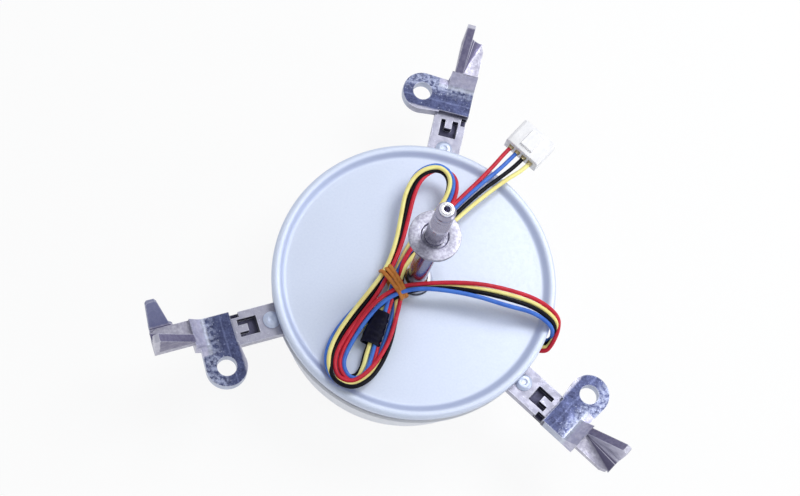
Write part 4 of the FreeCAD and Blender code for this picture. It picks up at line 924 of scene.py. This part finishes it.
def make_band():
    """Rubber band wound three times: a flat section carried along a rounded oval.
    Each turn keeps its place along the bundle over the top and steps aside below."""
    turn = np.linspace(0, BAND_TURNS * FULL_TURN, BAND_STEPS, endpoint=False)[:, None]
    step = turn / FULL_TURN
    c, s = np.cos(turn), np.sin(turn)
    along = np.interp(step, *BAND_PLACES) * (0.76 - 0.13 * c) + 0.12 * np.sin(4 / 3 * turn)
    outward = np.interp(step, *BAND_LIFTS) + 0.12 * np.sin(2 / 3 * turn)
    wide = BAND_HALF_WIDTH * squared_off(c, BAND_POWER)
    tall = BAND_HALF_HEIGHT * squared_off(s, BAND_POWER)
    up = np.array([0, 0, 1.0])
    way = np.cross(BAND_ACROSS, up)
    radial = c * BAND_ACROSS + s * up
    around = even_angles(BAND_SIDES)[None, :]
    section_wide = STRAND_HALF_WIDTH * squared_off(np.cos(around), 0.7)
    section_thick = STRAND_HALF_THICKNESS * squared_off(np.sin(around), 0.8)
    centre = BAND_CENTRE + wide * BAND_ACROSS + tall * up + along * way + outward * radial
    points = (centre[:, None, :] + section_wide[:, :, None] * way
              + section_thick[:, :, None] * radial[:, None, :])
    faces = grid_faces(BAND_STEPS, BAND_SIDES, wrap_rows=True)
    add_piece("rubber_band_wound", points, faces, "amber_rubber",
              "motor_body", ["rubber_band"], 60)


SLEEVE_START = np.array([-9.0, -23.9, 3.85])
SLEEVE_END = np.array([-7.55, -13.6, 4.3])
SLEEVE_RINGS = 60
SLEEVE_SIDES = 48
SLEEVE_BORE = 0.82    # share of the outer section that the inner one has
SLEEVE_HALF_WIDTH = 3.0
SLEEVE_NARROWING = 0.6
SLEEVE_HALF_HEIGHT = 1.95
SLEEVE_POWER = 2 / 2.4


def make_sleeve():
    """Shrunk sleeve: a rounded oval carried along a line, rippled by crossed sines of the
    length and the angle. It narrows with the square of the length, and the ripples are
    weaker at both ends."""
    way = SLEEVE_END - SLEEVE_START
    length = np.linalg.norm(way)
    way = way / length
    across = np.cross(way, [0, 0, 1.0])
    across /= np.linalg.norm(across)
    upward = np.cross(across, way)
    outer = np.linspace(0, 1, SLEEVE_RINGS)
    travel = np.concatenate([outer, outer[::-1]])[:, None]
    size = np.repeat([1.0, SLEEVE_BORE], SLEEVE_RINGS)[:, None]
    around = even_angles(SLEEVE_SIDES)[None, :]
    ripple = (0.03 * np.sin(9 * travel * FULL_TURN * 0.6 + 2 * around)
              + 0.028 * np.sin(17 * travel + 5 * around)
              + 0.014 * np.sin(41 * travel - 3 * around))
    swell = size * (0.98 + ripple * np.minimum(1, 6 * np.minimum(travel + 0.05, 1.05 - travel)))
    wide = ((SLEEVE_HALF_WIDTH - SLEEVE_NARROWING * travel ** 2) * swell
            * squared_off(np.cos(around), SLEEVE_POWER))
    tall = SLEEVE_HALF_HEIGHT * swell * squared_off(np.sin(around), SLEEVE_POWER)
    points = (SLEEVE_START + (travel * length)[:, :, None] * way
              + wide[:, :, None] * across + tall[:, :, None] * upward)
    faces = grid_faces(2 * SLEEVE_RINGS, SLEEVE_SIDES, wrap_rows=True)[:, :, ::-1]
    add_piece("splice_sleeve_wrinkled", points, faces, "sleeve_plastic",
              "motor_body", ["splice_sleeve"], 70)


make_cover()
make_can()
make_ears()
make_rivets()
make_shaft()
make_flange()
make_band()
make_sleeve()
merged_copy("cast_bracket", "cast_bracket_rounded", "cast_metal", 0.22)
merged_copy("connector_housing", "connector_housing_moulded", "connector_plastic",
            0.18)

# Nodes of the part that need no finer form here, with their materials.
KEPT_NODES = {
    "front_bearing": "sintered_bronze", "rear_bearing": "sintered_bronze",
    "rotor_core": "rotor_iron", "rotor_spacer": "washer_plastic",
    "front_thrust_washer": "washer_plastic", "rear_thrust_washer": "washer_plastic",
    "rotor_magnets": "magnet_ferrite", "stator_core": "rotor_iron",
    "upper_insulator": "white_plastic", "lower_insulator": "white_plastic",
    "windings": "enamelled_copper", "circuit_board": "board_laminate",
    "board_spacers": "white_plastic", "board_screws": "screw_steel",
    "power_switches": "dark_plastic", "board_capacitors": "capacitor_can",
    "wire_grommet": "grommet_rubber", "connector_terminals": "terminal_brass",
}
for node, material in KEPT_NODES.items():
    dress(nodes[node], material)


# Studio: pale floor, two soft boxes at the upper right, light from all round.
FLOOR_REACH = 3.0
FLOOR_GLOW = 0.88    # share of the floor's own white where the background shows
FILL_LEVEL = 0.52    # strength of the even light on the object
OVERHEAD_DIM = 0.45  # how much darker than the horizon the mirrored sky is overhead


def mirrored_rays(tree, path):
    """1 for the rays that a piece mirrors or lets through."""
    return math_node(tree, "MAXIMUM", path.outputs["Is Glossy Ray"],
                     path.outputs["Is Transmission Ray"])


def make_floor():
    """A flat floor just below the can: it keeps the shadow and shows white elsewhere."""
    mesh = bpy.data.meshes.new("floor")
    level = CAN_BOTTOM * MM - 0.0002
    corners = [(x * FLOOR_REACH, y * FLOOR_REACH, level)
               for x, y in ((-1, -1), (1, -1), (1, 1), (-1, 1))]
    mesh.from_pydata(corners, [], [(0, 1, 2, 3)])
    floor = new_object("floor", mesh)
    material = bpy.data.materials.new("floor_white")
    material.use_nodes = True
    tree = material.node_tree
    shader = tree.nodes["Principled BSDF"]
    shader.inputs["Base Color"].default_value = (0.94, 0.95, 0.96, 1)
    shader.inputs["Roughness"].default_value = 0.9
    glow = tree.nodes.new("ShaderNodeEmission")
    glow.inputs["Strength"].default_value = 1.0
    path = tree.nodes.new("ShaderNodeLightPath")
    seen = math_node(tree, "MAXIMUM", path.outputs["Is Camera Ray"], mirrored_rays(tree, path))
    share = math_node(tree, "MULTIPLY", seen, FLOOR_GLOW)
    mix = tree.nodes.new("ShaderNodeMixShader")
    tree.links.new(share, mix.inputs[0])
    tree.links.new(shader.outputs[0], mix.inputs[1])
    tree.links.new(glow.outputs[0], mix.inputs[2])
    tree.links.new(mix.outputs[0], tree.nodes["Material Output"].inputs[0])
    mesh.materials.append(material)


def make_world():
    """White for the camera and the horizon that metal mirrors, dimmer overhead; an even
    soft light for everything else."""
    world = bpy.data.worlds.new("studio")
    world.use_nodes = True
    tree = world.node_tree
    background = tree.nodes["Background"]
    way = tree.nodes.new("ShaderNodeTexCoord").outputs["Generated"]
    height = stepped(tree, separated(tree, way)[2], 0.3, 0.95)
    mirrored = math_node(tree, "SUBTRACT", 1.0,
                         math_node(tree, "MULTIPLY", height, OVERHEAD_DIM))
    path = tree.nodes.new("ShaderNodeLightPath")
    level = FILL_LEVEL
    for share, value in ((mirrored_rays(tree, path), mirrored),
                         (path.outputs["Is Camera Ray"], 1.0)):
        seen = tree.nodes.new("ShaderNodeMix")
        seen.data_type = "FLOAT"
        tree.links.new(share, seen.inputs[0])
        feed(tree, seen.inputs[2], level)
        feed(tree, seen.inputs[3], value)
        level = seen.outputs[0]
    background.inputs["Color"].default_value = (0.97, 0.985, 1.0, 1)
    tree.links.new(level, background.inputs["Strength"])
    bpy.context.scene.world = world


def soft_box(name, spot, size, power):
    """A square area light at a spot, turned to the middle of the motor."""
    data = bpy.data.lights.new(name, "AREA")
    data.size = size
    data.energy = power
    lamp = new_object(name, data)
    lamp.location = spot
    lamp.rotation_mode = "QUATERNION"
    lamp.rotation_quaternion = Vector(spot).to_track_quat("Z", "Y")


make_floor()
make_world()
soft_box("key_box", (0.19, 0.22, 0.44), 0.26, 1.2)
soft_box("side_box", (0.48, -0.06, 0.22), 0.3, 0.55)
bpy.context.scene.view_settings.view_transform = "Standard"
